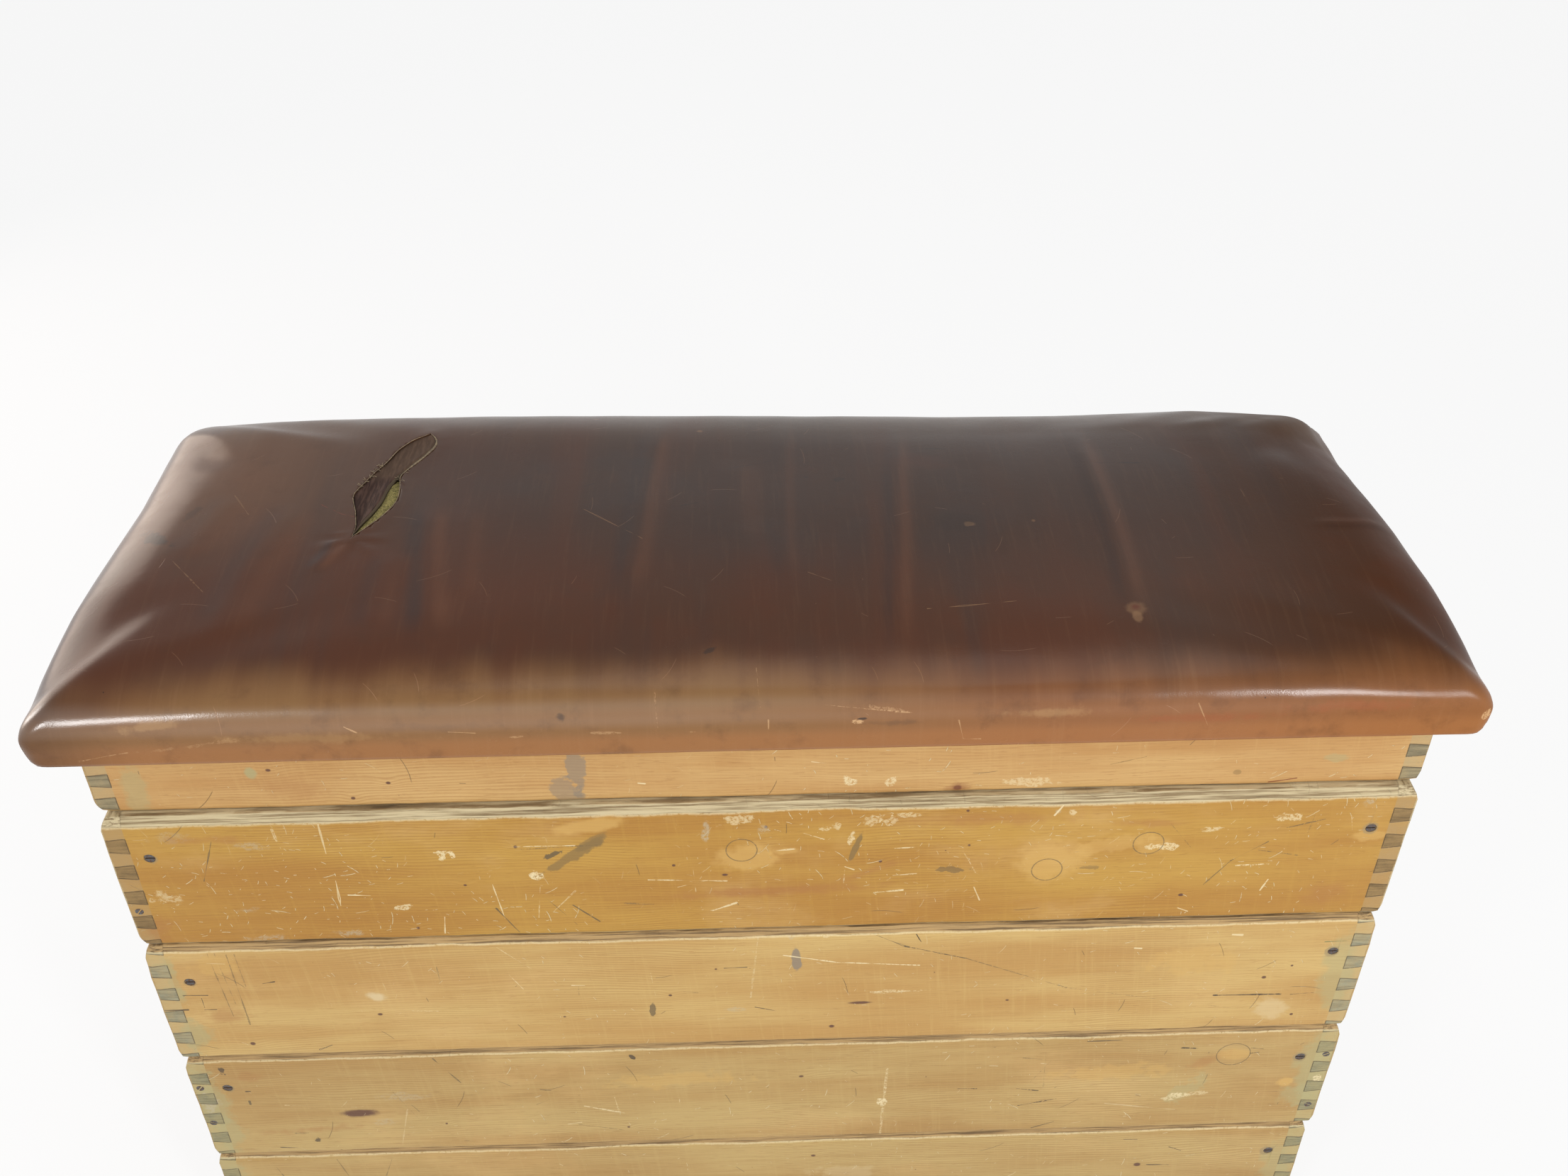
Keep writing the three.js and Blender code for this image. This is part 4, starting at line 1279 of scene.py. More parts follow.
# Heights above the pad's foot at which an unevenness starts, and heights over which it grows
INWARD_START, INWARD_GROWTH = 0.026, 0.03
OUTWARD_START, OUTWARD_GROWTH = 0.01, 0.04
RISE_START, RISE_GROWTH = 0.02, 0.06
DROP_START, DROP_GROWTH = 0.012, 0.03


class PadShape:
    """The pad's form: a sheet of points that bends over the shoulder and under the deck."""

    def __init__(self, leather, depth, step):
        low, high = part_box("leather_cover")
        self.low = low
        self.leather = leather
        self.depth = depth
        self.middle = Vector(((low.x + high.x) / 2, (low.y + high.y) / 2, 0))
        self.half_length = (high.x - low.x) / 2
        self.half_width = (high.y - low.y) / 2
        self.widest = low.z + leather.thickness + leather.fit + leather.side_height
        flat_length = 2 * (self.half_length - leather.shoulder_reach)
        flat_width = 2 * (self.half_width - leather.shoulder_reach)
        self.cells_long = round(flat_length / step)
        self.cells_wide = round(flat_width / step)
        self.step = step

    def crown(self, x, y):
        across = min(1.0, abs(y) / self.half_width)
        along = min(1.0, abs(x) / self.half_length)
        return self.leather.crown_rise * (1 - across**2) * (1 - along**6)

    def stuffed(self, point):
        """A point moved by the uneven stuffing."""
        x, y = point.x - self.middle.x, point.y - self.middle.y
        side = 1 if x > 0 else -1
        near_end = max(0.0, 1 - (self.half_length - abs(x)) / END_REACH)
        out = between(END_BULGE[side], y / MM) * MM
        up = point.z - self.low.z
        if out < 0:
            share = (up - INWARD_START) / INWARD_GROWTH
        else:
            share = 0.4 + (up - OUTWARD_START) / OUTWARD_GROWTH
        point.x += side * out * near_end * clamped(share)
        near_rear = clamped((y + 0.02) / (self.half_width - 0.08))
        rise = between(REAR_RISE, x / MM) * MM * near_rear**1.5
        point.z += rise * clamped((point.z - self.low.z - RISE_START) / RISE_GROWTH)
        corner = clamped((abs(x) - CORNER_ALONG[0]) / CORNER_ALONG[1]) ** 1.5
        corner *= clamped((-CORNER_ACROSS[0] - y) / CORNER_ACROSS[1])
        held = clamped((point.z - self.low.z - DROP_START) / DROP_GROWTH)
        point.z -= CORNER_DROP * corner * held
        return point

    def profile(self):
        """Insets at the long sides and at the ends, and heights, from the shoulder down."""
        leather = self.leather
        points = []
        shoulder = round(0.11 / self.step)
        for k in range(1, shoulder + 1):
            turn = math.pi / 2 * (1 - k / shoulder)
            rounded = 1 - math.cos(turn)
            inset = leather.shoulder_reach * rounded**leather.shoulder_fullness
            end_inset = leather.shoulder_reach * rounded**leather.end_fullness
            z = self.widest + leather.shoulder_rise * math.sin(turn)
            points.append((inset, end_inset, z))
        foot = self.low.z
        side = max(3, round((self.widest - foot) / self.step))
        for k in range(1, side + 1):
            down = k / side
            inset = leather.side_draw_in * down**2
            points.append((inset, inset, self.widest - (self.widest - foot) * down))
        return points

    def sunk(self, points):
        """The profile moved inwards by the depth, square to itself."""
        moved = []
        for k, (inset, end_inset, z) in enumerate(points):
            before = points[max(k - 1, 0)]
            after = points[min(k + 1, len(points) - 1)]
            along = Vector((after[0] - before[0], after[2] - before[2])).normalized()
            inward = -along.y * self.depth
            moved.append((inset + inward, end_inset + inward, z + along.x * self.depth))
        return moved

    def corner(self, x, y, half_x, half_y, radius):
        """A point of a rectangle's edge moved on to the same edge with round corners."""
        if radius <= 0:
            return x, y
        past_x = abs(x) - (half_x - radius)
        past_y = abs(y) - (half_y - radius)
        if past_x <= 0 or past_y <= 0:
            return x, y
        if past_x >= past_y:
            turn = past_y / radius * math.pi / 4
        else:
            turn = math.pi / 2 - past_x / radius * math.pi / 4
        cx, cy = half_x - radius, half_y - radius
        return (math.copysign(cx + radius * math.cos(turn), x),
                math.copysign(cy + radius * math.sin(turn), y))

    def rim_places(self):
        """Shares of the half sizes along the edge of the flat grid, once round."""
        n, m = self.cells_long, self.cells_wide
        places = [(2 * i / n - 1, -1) for i in range(n)]
        places += [(1, 2 * j / m - 1) for j in range(m)]
        places += [(1 - 2 * i / n, 1) for i in range(n)]
        places += [(-1, 1 - 2 * j / m) for j in range(m)]
        return places

    def ring(self, inset, end_inset, z, radius, crowned=True):
        half_x = self.half_length - end_inset
        half_y = self.half_width - inset
        points = []
        for u, v in self.rim_places():
            here = radius * self.leather.rear_rounding if v > 0 and z > self.widest else radius
            x, y = self.corner(u * half_x, v * half_y, half_x, half_y, here)
            lift = self.crown(x, y) if crowned else 0.0
            point = Vector((x, y, z + lift)) + self.middle
            points.append(self.stuffed(point) if crowned else point)
        return points

    def radius_at(self, inset, z):
        """The corner's radius: tightest at the shoulder, rounder at the foot."""
        leather = self.leather
        rest = max(0.0, 1 - max(0.0, inset) / leather.shoulder_reach)
        down = clamped((self.widest - z) / (self.widest - self.low.z))
        radius = leather.corner_radius + (leather.foot_radius - leather.corner_radius) * down
        return radius * rest**0.5 if z > self.widest else radius

    def sheet(self, top_height=None):
        """The flat grid on top, its faces and its rim."""
        leather = self.leather
        n, m = self.cells_long, self.cells_wide
        half_x = self.half_length - leather.shoulder_reach
        half_y = self.half_width - leather.shoulder_reach
        z = self.widest + leather.shoulder_rise - self.depth if top_height is None else top_height
        points, index = [], {}
        for i in range(n + 1):
            for j in range(m + 1):
                x = (2 * i / n - 1) * half_x
                y = (2 * j / m - 1) * half_y
                lift = self.crown(x, y) if top_height is None else 0.0
                index[i, j] = len(points)
                point = Vector((x, y, z + lift)) + self.middle
                points.append(self.stuffed(point) if top_height is None else point)
        faces = [
            (index[i, j], index[i + 1, j], index[i + 1, j + 1], index[i, j + 1])
            for i in range(n)
            for j in range(m)
        ]
        rim = [index[i, 0] for i in range(n)]
        rim += [index[n, j] for j in range(m)]
        rim += [index[n - i, m] for i in range(n)]
        rim += [index[0, m - j] for j in range(m)]
        return points, faces, rim


def add_ring(points, faces, last, ring):
    """Joins a new ring of points to the last one."""
    first = len(points)
    points.extend(ring)
    count = len(ring)
    for k in range(count):
        after = (k + 1) % count
        faces.append((last[k], first + k, first + after, last[after]))
    return list(range(first, first + count))


def leather_shell(leather):
    """The leather as one open skin, from its crown to its turned-under edge."""
    shape = PadShape(leather, 0.0, leather.mesh_step)
    points, faces, last = shape.sheet()
    for inset, end_inset, z in shape.profile():
        ring = shape.ring(inset, end_inset, z, shape.radius_at(inset, z))
        last = add_ring(points, faces, last, ring)
    hem_steps = 3
    for k in range(1, hem_steps + 1):
        share_in = k / hem_steps
        inset = leather.side_draw_in + leather.turn_under * share_in
        radius = leather.foot_radius + (leather.hem_radius - leather.foot_radius) * share_in
        ring = shape.ring(inset, inset, shape.low.z, radius, crowned=False)
        last = add_ring(points, faces, last, ring)
    return mesh_of("leather_top", points, faces), shape


def felt_shell(leather):
    """The padding as one closed form between the leather and the deck."""
    shape = PadShape(leather, leather.thickness + leather.felt_gap, 2 * leather.mesh_step)
    points, faces, last = shape.sheet()
    foot = shape.low.z + shape.depth
    for inset, end_inset, z in shape.sunk(shape.profile()):
        level = max(z, foot)
        radius = shape.radius_at(max(0.0, inset - shape.depth), level)
        last = add_ring(points, faces, last, shape.ring(inset, end_inset, level, radius))
    _, deck_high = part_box("deck_plank_1")
    deck_top = deck_high.z + leather.fit
    deck_inset = shape.half_length - deck_high.x - leather.fit
    radius = leather.fit + 0.2 * leather.corner_radius
    for level in (foot, deck_top):
        ring = shape.ring(deck_inset, deck_inset, level, radius, crowned=False)
        last = add_ring(points, faces, last, ring)
    under, under_faces, rim = shape.sheet(deck_top)
    offset = len(points)
    points.extend(under)
    faces.extend(tuple(offset + v for v in face[::-1]) for face in under_faces)
    count = len(last)
    for k in range(count):
        after = (k + 1) % count
        faces.append((last[k], offset + rim[k], offset + rim[after], last[after]))
    return mesh_of("felt_padding", points, faces)


def tuck_under(mesh, cover, gap):
    """Lowers the points of the padding that would touch the leather above them."""
    for vert in mesh.vertices:
        above = Vector((vert.co.x, vert.co.y, 2.0))
        hit, place, _, _ = cover.ray_cast(above, Vector((0, 0, -1)))
        if hit:
            vert.co.z = min(vert.co.z, max(place.z - gap, vert.co.z - 0.012))
    mesh.update()


def swell(piece, leather, shape):
    """Lets the leather fill and settle by a short cloth simulation, each point's move capped."""
    scene = bpy.context.scene
    mesh = piece.data
    before = np.zeros(len(mesh.vertices) * 3)
    mesh.vertices.foreach_get("co", before)
    before = before.reshape(-1, 3)
    held = piece.vertex_groups.new(name="held")
    held_level = shape.low.z + 0.006
    held.add([int(i) for i in np.nonzero(before[:, 2] < held_level)[0]], 1.0, "REPLACE")
    cloth = piece.modifiers.new("Swell", "CLOTH")
    settings = cloth.settings
    settings.quality = 6
    settings.mass = 0.4
    settings.tension_stiffness = 40
    settings.compression_stiffness = 40
    settings.shear_stiffness = 12
    settings.bending_stiffness = 3
    settings.vertex_group_mass = "held"
    settings.use_pressure = True
    settings.uniform_pressure_force = 4
    settings.effector_weights.gravity = 0
    cloth.collision_settings.use_collision = False
    first, last = 1, 20
    cloth.point_cache.frame_start = first
    cloth.point_cache.frame_end = last
    for number in range(first, last + 1):
        scene.frame_set(number)
    shown = piece.evaluated_get(bpy.context.evaluated_depsgraph_get())
    after = np.zeros(len(mesh.vertices) * 3)
    shown.data.vertices.foreach_get("co", after)
    move = after.reshape(-1, 3) - before
    length = np.linalg.norm(move, axis=1, keepdims=True)
    capped = leather.swell_cap * np.tanh(length / leather.swell_cap)
    move *= np.divide(capped, length, out=np.zeros_like(length), where=length > 0)
    piece.modifiers.remove(cloth)
    piece.vertex_groups.remove(held)
    mesh.vertices.foreach_set("co", (before + move).ravel())
    scene.frame_set(first)
    mesh.update()


# Creases across the pad in mm: points of the line, half width, height, strength of painted shading
CREASES = (
    (((-119, 212), (-127, 127), (-133, 42), (-136, -31), (-147, -156)), 13, 1.3, 0.5),
    (((33, 205), (28, 74), (25, -36), (27, -143)), 9, 0.7, 0.35),
    (((171, 190), (160, 70), (152, -40), (141, -147), (135, -240)), 10, 1.2, 0.5),
    (((389, 175), (390, 54), (391, -34), (390, -97), (386, -155), (388, -188)), 11, 1.4, 0.5),
    (((-372, 30), (-364, -50), (-352, -133), (-344, -200)), 16, 1.6, 0.7),
    (((-330, 20), (-322, -90), (-318, -150)), 14, 0.9, 0.35),
    (((-400, -60), (-404, -140), (-402, -190)), 16, 1.0, 0.4),
    (((622, -34), (668, -30), (713, -13)), 6, 1.2, 0.4),
    (((-520, 40), (-548, -80), (-560, -190)), 22, 1.2, 0.4),
    (((-600, 60), (-630, -60)), 18, 0.8, 0.3), (((-462, -40), (-480, -90)), 8, 1.4, 0.6),
    (((-30, 120), (-28, -60)), 22, 0.8, 0.3), (((250, 130), (262, -120)), 26, -0.8, 0.2),
    (((520, 160), (540, -120)), 36, -1.0, 0.2),
)


def crease_at(x, y):
    """How far the creases lift the leather, in metres, and their painted shading from -1 to 1."""
    lift, stain = 0.0, 0.0
    for line, half_width, rise, strength in CREASES:
        first, last = Vector(line[0]) * MM, Vector(line[-1]) * MM
        whole = (last - first).length
        best = None
        walked = 0.0
        for a, b in zip(line, line[1:]):
            start, run = Vector(a) * MM, (Vector(b) - Vector(a)) * MM
            away = Vector((x, y)) - start
            reach = clamped(away.dot(run) / run.length_squared)
            off = away - run * reach
            if best is None or off.length < best[0]:
                turn = run.x * away.y - run.y * away.x
                best = (off.length, math.copysign(1, turn), (walked + reach * run.length) / whole)
            walked += run.length
        distance, side, share_along = best
        near = distance / (half_width * MM)
        if near > 4:
            continue
        ends = min(1.0, 5 * min(share_along, 1 - share_along) + 0.25)
        lift += rise * MM * math.exp(-(near**2)) * ends
        stain += strength * side * 2.0 * near * math.exp(-((near / 1.25) ** 2)) * ends
    return lift, stain


def lumps(x, y):
    """The slow unevenness of old stuffing, in metres."""
    slow = 0.0030 * wave(x * 3.2, y * 5, 2.1)
    ribs = 0.0007 * wave(x * 16, y * 2.2, 5.3)
    return slow + ribs


# How far in, how wide and how deep the corners of the leather are folded
FOLD_REACH, FOLD_WIDTH, FOLD_DEPTH = 0.05, 0.003, 0.0014


def settle_leather(mesh, shape):
    """Adds creases, lumps and the folded corners to the leather's points."""
    mesh.update()
    normals = np.zeros(len(mesh.vertices) * 3)
    mesh.vertices.foreach_get("normal", normals)
    normals = normals.reshape(-1, 3)
    top = shape.widest
    # Painted light and shade of the creases: one side of each ridge lit, the other in shade
    crease_shadings = mesh.attributes.new("stain", "FLOAT", "POINT")
    for vert, normal, point_shading in zip(mesh.vertices, normals, crease_shadings.data):
        x, y, z = vert.co
        upper = clamped((z - top) / 0.03)
        held = clamped((z - shape.low.z) / 0.012)
        crease, stain = crease_at(x, y)
        point_shading.value = stain * upper
        lift = upper * (crease + lumps(x, y) + tear_lift(x, y))
        lift += (1 - upper) * held * 0.0012 * wave(x * 22, y * 22, z * 9)
        corner_x = shape.half_length - abs(x)
        corner_y = shape.half_width - abs(y)
        diagonal = abs(corner_x - corner_y) / math.sqrt(2)
        inward = (corner_x + corner_y) / math.sqrt(2)
        if inward < FOLD_REACH and held > 0:
            fold = math.exp(-((diagonal / FOLD_WIDTH) ** 2)) * (1 - inward / FOLD_REACH)
            lift -= FOLD_DEPTH * fold * held
        vert.co += Vector(normal) * lift
    mesh.update()


# The tear

# Its outline in mm on the pad, each side from the rear tip to the front tip
TEAR_LEFT = ((-395, 188), (-414, 175), (-428, 152), (-437, 122), (-447, 101), (-457, 72),
             (-464, 53), (-461, 38), (-455, 20), (-451, 0), (-448, -14), (-449, -33))
TEAR_RIGHT = ((-395, 188), (-385, 172), (-385, 156), (-395, 133), (-407, 111), (-417, 92),
              (-413, 70), (-411, 43), (-414, 28), (-424, 5), (-438, -17), (-449, -33))
FLAP_EDGE = ((-395, 186), (-387, 172), (-387, 157), (-397, 132), (-410, 110), (-420, 92),
             (-427, 73), (-428, 50), (-430, 32), (-437, 8), (-444, -10), (-449, -31))
# Where its waist starts and ends, as shares of its length from the rear tip
WAIST_SHARES = (0.38, 0.52)

# How high the flap's edge curls below the waist, above it and everywhere, and how deep it sags
LOWER_CURL, UPPER_CURL, LEAST_CURL, FLAP_SAG = 0.0042, 0.0026, 0.0012, 0.0022

# How far below the leather's face the felt starts in the tear, and how high it swells from there
TUFT_DEPTH, TUFT_RISE = 0.0066, 0.0052

# How far the leather puckers to the sides of the tear, and round its front tip
PUCKER_WIDTH, PUCKER_REACH = 0.012, 0.018


def along_line(line, reach):
    """The point of a broken line, in metres, at a share of its length."""
    lengths = [math.dist(a, b) for a, b in zip(line, line[1:])]
    walked = reach * sum(lengths)
    for (a, b), length in zip(zip(line, line[1:]), lengths):
        if walked <= length:
            return (Vector(a) + (Vector(b) - Vector(a)) * (walked / length)) * MM
        walked -= length
    return Vector(line[-1]) * MM


def smooth_line(line, count):
    """Points at even steps along a broken line, its corners rounded off."""
    raw = [along_line(line, k / count) for k in range(count + 1)]
    for _ in range(3):
        inner = [(a + 2 * b + c) / 4 for a, b, c in zip(raw, raw[1:], raw[2:])]
        raw = [raw[0], *inner, raw[-1]]
    return raw


def tear_lift(x, y):
    """How the leather puckers round the tear, in metres."""
    lift = 0.0
    for line, height in ((TEAR_LEFT, 0.0004), (TEAR_RIGHT, 0.0009)):
        near = 1.0
        if abs(x + 0.42) < 0.1 and -0.09 < y < 0.24:
            near = min((Vector((x, y)) - along_line(line, s / 16)).length for s in range(17))
        lift += height * math.exp(-((near / PUCKER_WIDTH) ** 2))
    tip = Vector(TEAR_LEFT[-1]) * MM
    away = Vector((x, y)) - tip
    if away.length < 0.08 and away.y < 0.01:
        turn = math.atan2(away.y, away.x)
        past = (away.length - PUCKER_REACH) / PUCKER_REACH
        lift += 0.001 * math.cos(7 * turn) * math.exp(-(past**2))
    return lift


class Surface:
    """Heights of the leather's outer face, read by rays from above."""

    def __init__(self, piece):
        self.piece = piece

    def height(self, x, y):
        hit, place, _, _ = self.piece.ray_cast(Vector((x, y, 2.0)), Vector((0, 0, -1)))
        if not hit:
            raise RuntimeError("no leather above x %.3f, y %.3f" % (x, y))
        return place.z


def cut_tear(cover, level):
    """Cuts the tear's outline out of the leather's top sheet."""
    count = 36
    left = smooth_line(TEAR_LEFT, count)
    right = smooth_line(TEAR_RIGHT, count)
    outline = left + right[-2:0:-1]
    bm = bmesh.new()
    lows = [bm.verts.new((p.x, p.y, level - 0.015)) for p in outline]
    highs = [bm.verts.new((p.x, p.y, level + 0.03)) for p in outline]
    for k in range(len(outline)):
        after = (k + 1) % len(outline)
        bm.faces.new((lows[k], lows[after], highs[after], highs[k]))
    bm.faces.new(lows[::-1])
    bm.faces.new(highs)
    bmesh.ops.recalc_face_normals(bm, faces=bm.faces)
    cut_away(cover, mesh_from(bm, "tear_cutter"))


def strip_mesh(name, rows, depth):
    """A closed mesh over rows of equally many points, with a copy of them below."""
    across = len(rows[0])
    points = [p for row in rows for p in row]
    faces = []
    for r in range(len(rows) - 1):
        for c in range(across - 1):
            a = r * across + c
            faces.append((a, a + across, a + across + 1, a + 1))
    first = len(points)
    points += [p - Vector((0, 0, depth)) for p in points]
    faces += [tuple(first + v for v in face[::-1]) for face in faces]
    rim = list(range(across))
    rim += [r * across + across - 1 for r in range(1, len(rows))]
    rim += [(len(rows) - 1) * across + c for c in range(across - 2, -1, -1)]
    rim += [r * across for r in range(len(rows) - 2, 0, -1)]
    for a, b in zip(rim, rim[1:] + rim[:1]):
        faces.append((a, b, first + b, first + a))
    return turned_out(mesh_of(name, points, faces), weld=0.02 * MM)


def torn_flap(surface, thickness):
    """The loose tongue of leather in the tear, curled up along its right edge."""
    rows_along, cells_across = 56, 12
    smallest_gap = 0.002
    left = smooth_line(TEAR_LEFT, rows_along)
    edge = smooth_line(FLAP_EDGE, rows_along)
    rows = []
    for r, (a, b) in enumerate(zip(left, edge)):
        down = r / rows_along
        opened = math.sin(math.pi * clamped(down)) ** 0.7
        lower = clamped((down - WAIST_SHARES[1]) / 0.1)
        upper = clamped((WAIST_SHARES[0] - down) / 0.1)
        open_here = (b - a).length > smallest_gap
        a = a + (b - a).normalized() * 0.0008 if open_here else a
        row = []
        for c in range(cells_across + 1):
            t = c / cells_across
            at = a + (b - a) * t
            curl = (LOWER_CURL * lower + UPPER_CURL * upper + LEAST_CURL) * opened
            z = surface.height(at.x, at.y) - 0.0012 * (1 - t) + curl * t**3
            z -= FLAP_SAG * lower * opened * math.sin(math.pi * min(1.0, t * 1.25)) ** 2
            z += 0.00035 * math.sin(2.6 * c + 1.3 * wave(at.x * 40, at.y * 40, 0.7)) * opened * t
            row.append(Vector((at.x, at.y, z)))
        open_here = (b - a).length > smallest_gap
        over = (b - a).normalized() if open_here else Vector((1, 0))
        lip = row[-1]
        for k in (1, 2):
            out = over * (0.0013 * k * opened)
            row.append(Vector((lip.x + out.x, lip.y + out.y, lip.z - 0.0009 * k * k * opened)))
        rows.append(row)
    return strip_mesh("torn_flap", rows, thickness)


def tear_rim(surface):
    """The rolled edges of the cover round the tear, thickest at the upper right."""
    steps, sides = 56, 6
    points, faces = [], []
    for line, thin, thick in ((TEAR_LEFT, 0.0004, 0.0005), (TEAR_RIGHT, 0.0005, 0.0013)):
        path = smooth_line(line, steps)
        first = len(points)
        for k, at in enumerate(path):
            down = k / steps
            ahead = (path[min(k + 1, steps)] - path[max(k - 1, 0)]).normalized()
            across = Vector((-ahead.y, ahead.x, 0))
            rolled = math.sin(math.pi * min(1.0, down / WAIST_SHARES[0])) ** 0.5
            tapered = 0.4 + 0.6 * min(1.0, 16 * down * (1 - down))
            radius = (thin + (thick - thin) * rolled) * tapered
            radius *= 1 + 0.25 * wave(at.x * 260, at.y * 260, 3.7)
            centre = Vector((at.x, at.y, surface.height(at.x, at.y) + 0.3 * radius))
            for s in range(sides):
                turn = 2 * math.pi * s / sides
                out, up = radius * math.cos(turn), radius * math.sin(turn)
                points.append(centre + across * out + Vector((0, 0, up)))
        for k in range(steps):
            for s in range(sides):
                a, b = first + k * sides + s, first + k * sides + (s + 1) % sides
                faces.append((a, b, b + sides, a + sides))
        faces.append(tuple(range(first + sides - 1, first - 1, -1)))
        faces.append(tuple(range(len(points) - sides, len(points))))
    return turned_out(mesh_of("tear_rim", points, faces))


def felt_tuft(surface):
    """The felt that swells through the open side of the tear."""
    rows_along, cells_across = 70, 16
    edge = smooth_line(FLAP_EDGE, 2 * rows_along)
    right = smooth_line(TEAR_RIGHT, 2 * rows_along)
    rows = []
    for r in range(rows_along + 1):
        down = 0.46 + 0.52 * r / rows_along
        k = round(down * 2 * rows_along)
        a, b = edge[k], right[k]
        run = Vector((1, 0.15)).normalized()
        a, b = a - run * 0.007, b + run * 0.003
        ends = math.sin(math.pi * r / rows_along) ** 0.5
        row = []
        for c in range(cells_across + 1):
            t = c / cells_across
            at = a + (b - a) * t
            rise = math.sin(math.pi * t) ** 0.7 * ends
            z = surface.height(at.x, at.y) - TUFT_DEPTH + TUFT_RISE * rise
            z += 0.0009 * rise * wave(at.x * 260, at.y * 260, 1.4)
            z += 0.0005 * rise * wave(at.x * 700, at.y * 700, 2.4)
            row.append(Vector((at.x, at.y, z)))
        rows.append(row)
    return strip_mesh("felt_tuft", rows, 0.002)


def thread_tree():
    """Short frayed threads on the points of the input, turned and sized by chance."""
    sockets = [("Length", FLOAT), ("Radius", FLOAT), ("Seed", "NodeSocketInt"),
               ("Material", "NodeSocketMaterial")]
    tree, g, i, out = scatter_tree("Frayed Threads", sockets)
    points = g.add("GeometryNodeMeshToPoints", {"Mesh": i["Geometry"]}).outputs[0]
    bent = g.add("GeometryNodeCurveQuadraticBezier", {"Resolution": 4}).outputs[0]
    bezier = bent.node.inputs
    bezier["Start"].default_value = (0, 0, 0)
    bezier["Middle"].default_value = (0.45, 0.25, 0.4)
    bezier["End"].default_value = (1.0, 0.1, 0.15)
    round_one = g.add("GeometryNodeCurvePrimitiveCircle", {"Resolution": 5}).outputs[0]
    g.plug(round_one.node.inputs["Radius"], g.math("DIVIDE", i["Radius"], i["Length"]))
    tube = g.add("GeometryNodeCurveToMesh", {"Curve": bent, "Profile Curve": round_one})
    tube.inputs["Fill Caps"].default_value = True
    size_of = g.add("FunctionNodeRandomValue", {"Seed": i["Seed"]}, data_type="FLOAT")
    g.plug(size_of.inputs[2], 0.5)
    g.plug(size_of.inputs[3], 1.3)
    scale = g.times(size_of.outputs[1], i["Length"])
    turn = g.add("FunctionNodeRandomValue", {"Seed": i["Seed"]}, data_type="FLOAT_VECTOR")
    g.plug(turn.inputs[0], (-0.3, -0.3, 0.0))
    g.plug(turn.inputs[1], (0.3, 0.3, 2 * math.pi))
    scatter(g, i, out, points, tube.outputs[0], Rotation=turn.outputs[0], Scale=scale)
    return tree


def fray_places(surface):
    """Where frayed threads stand along the waist of the tear."""
    places = []
    for line, low, high, count in ((TEAR_LEFT, 0.33, 0.60, 26), (TEAR_RIGHT, 0.38, 0.50, 12)):
        for k in range(count):
            at = along_line(line, low + (high - low) * k / (count - 1))
            at += Vector((wave(k * 1.7, 0, 3.1), wave(k * 1.7, 5, 8.2))) * 0.003
            places.append((at.x, at.y, surface.height(at.x, at.y) - 0.0008))
    return places


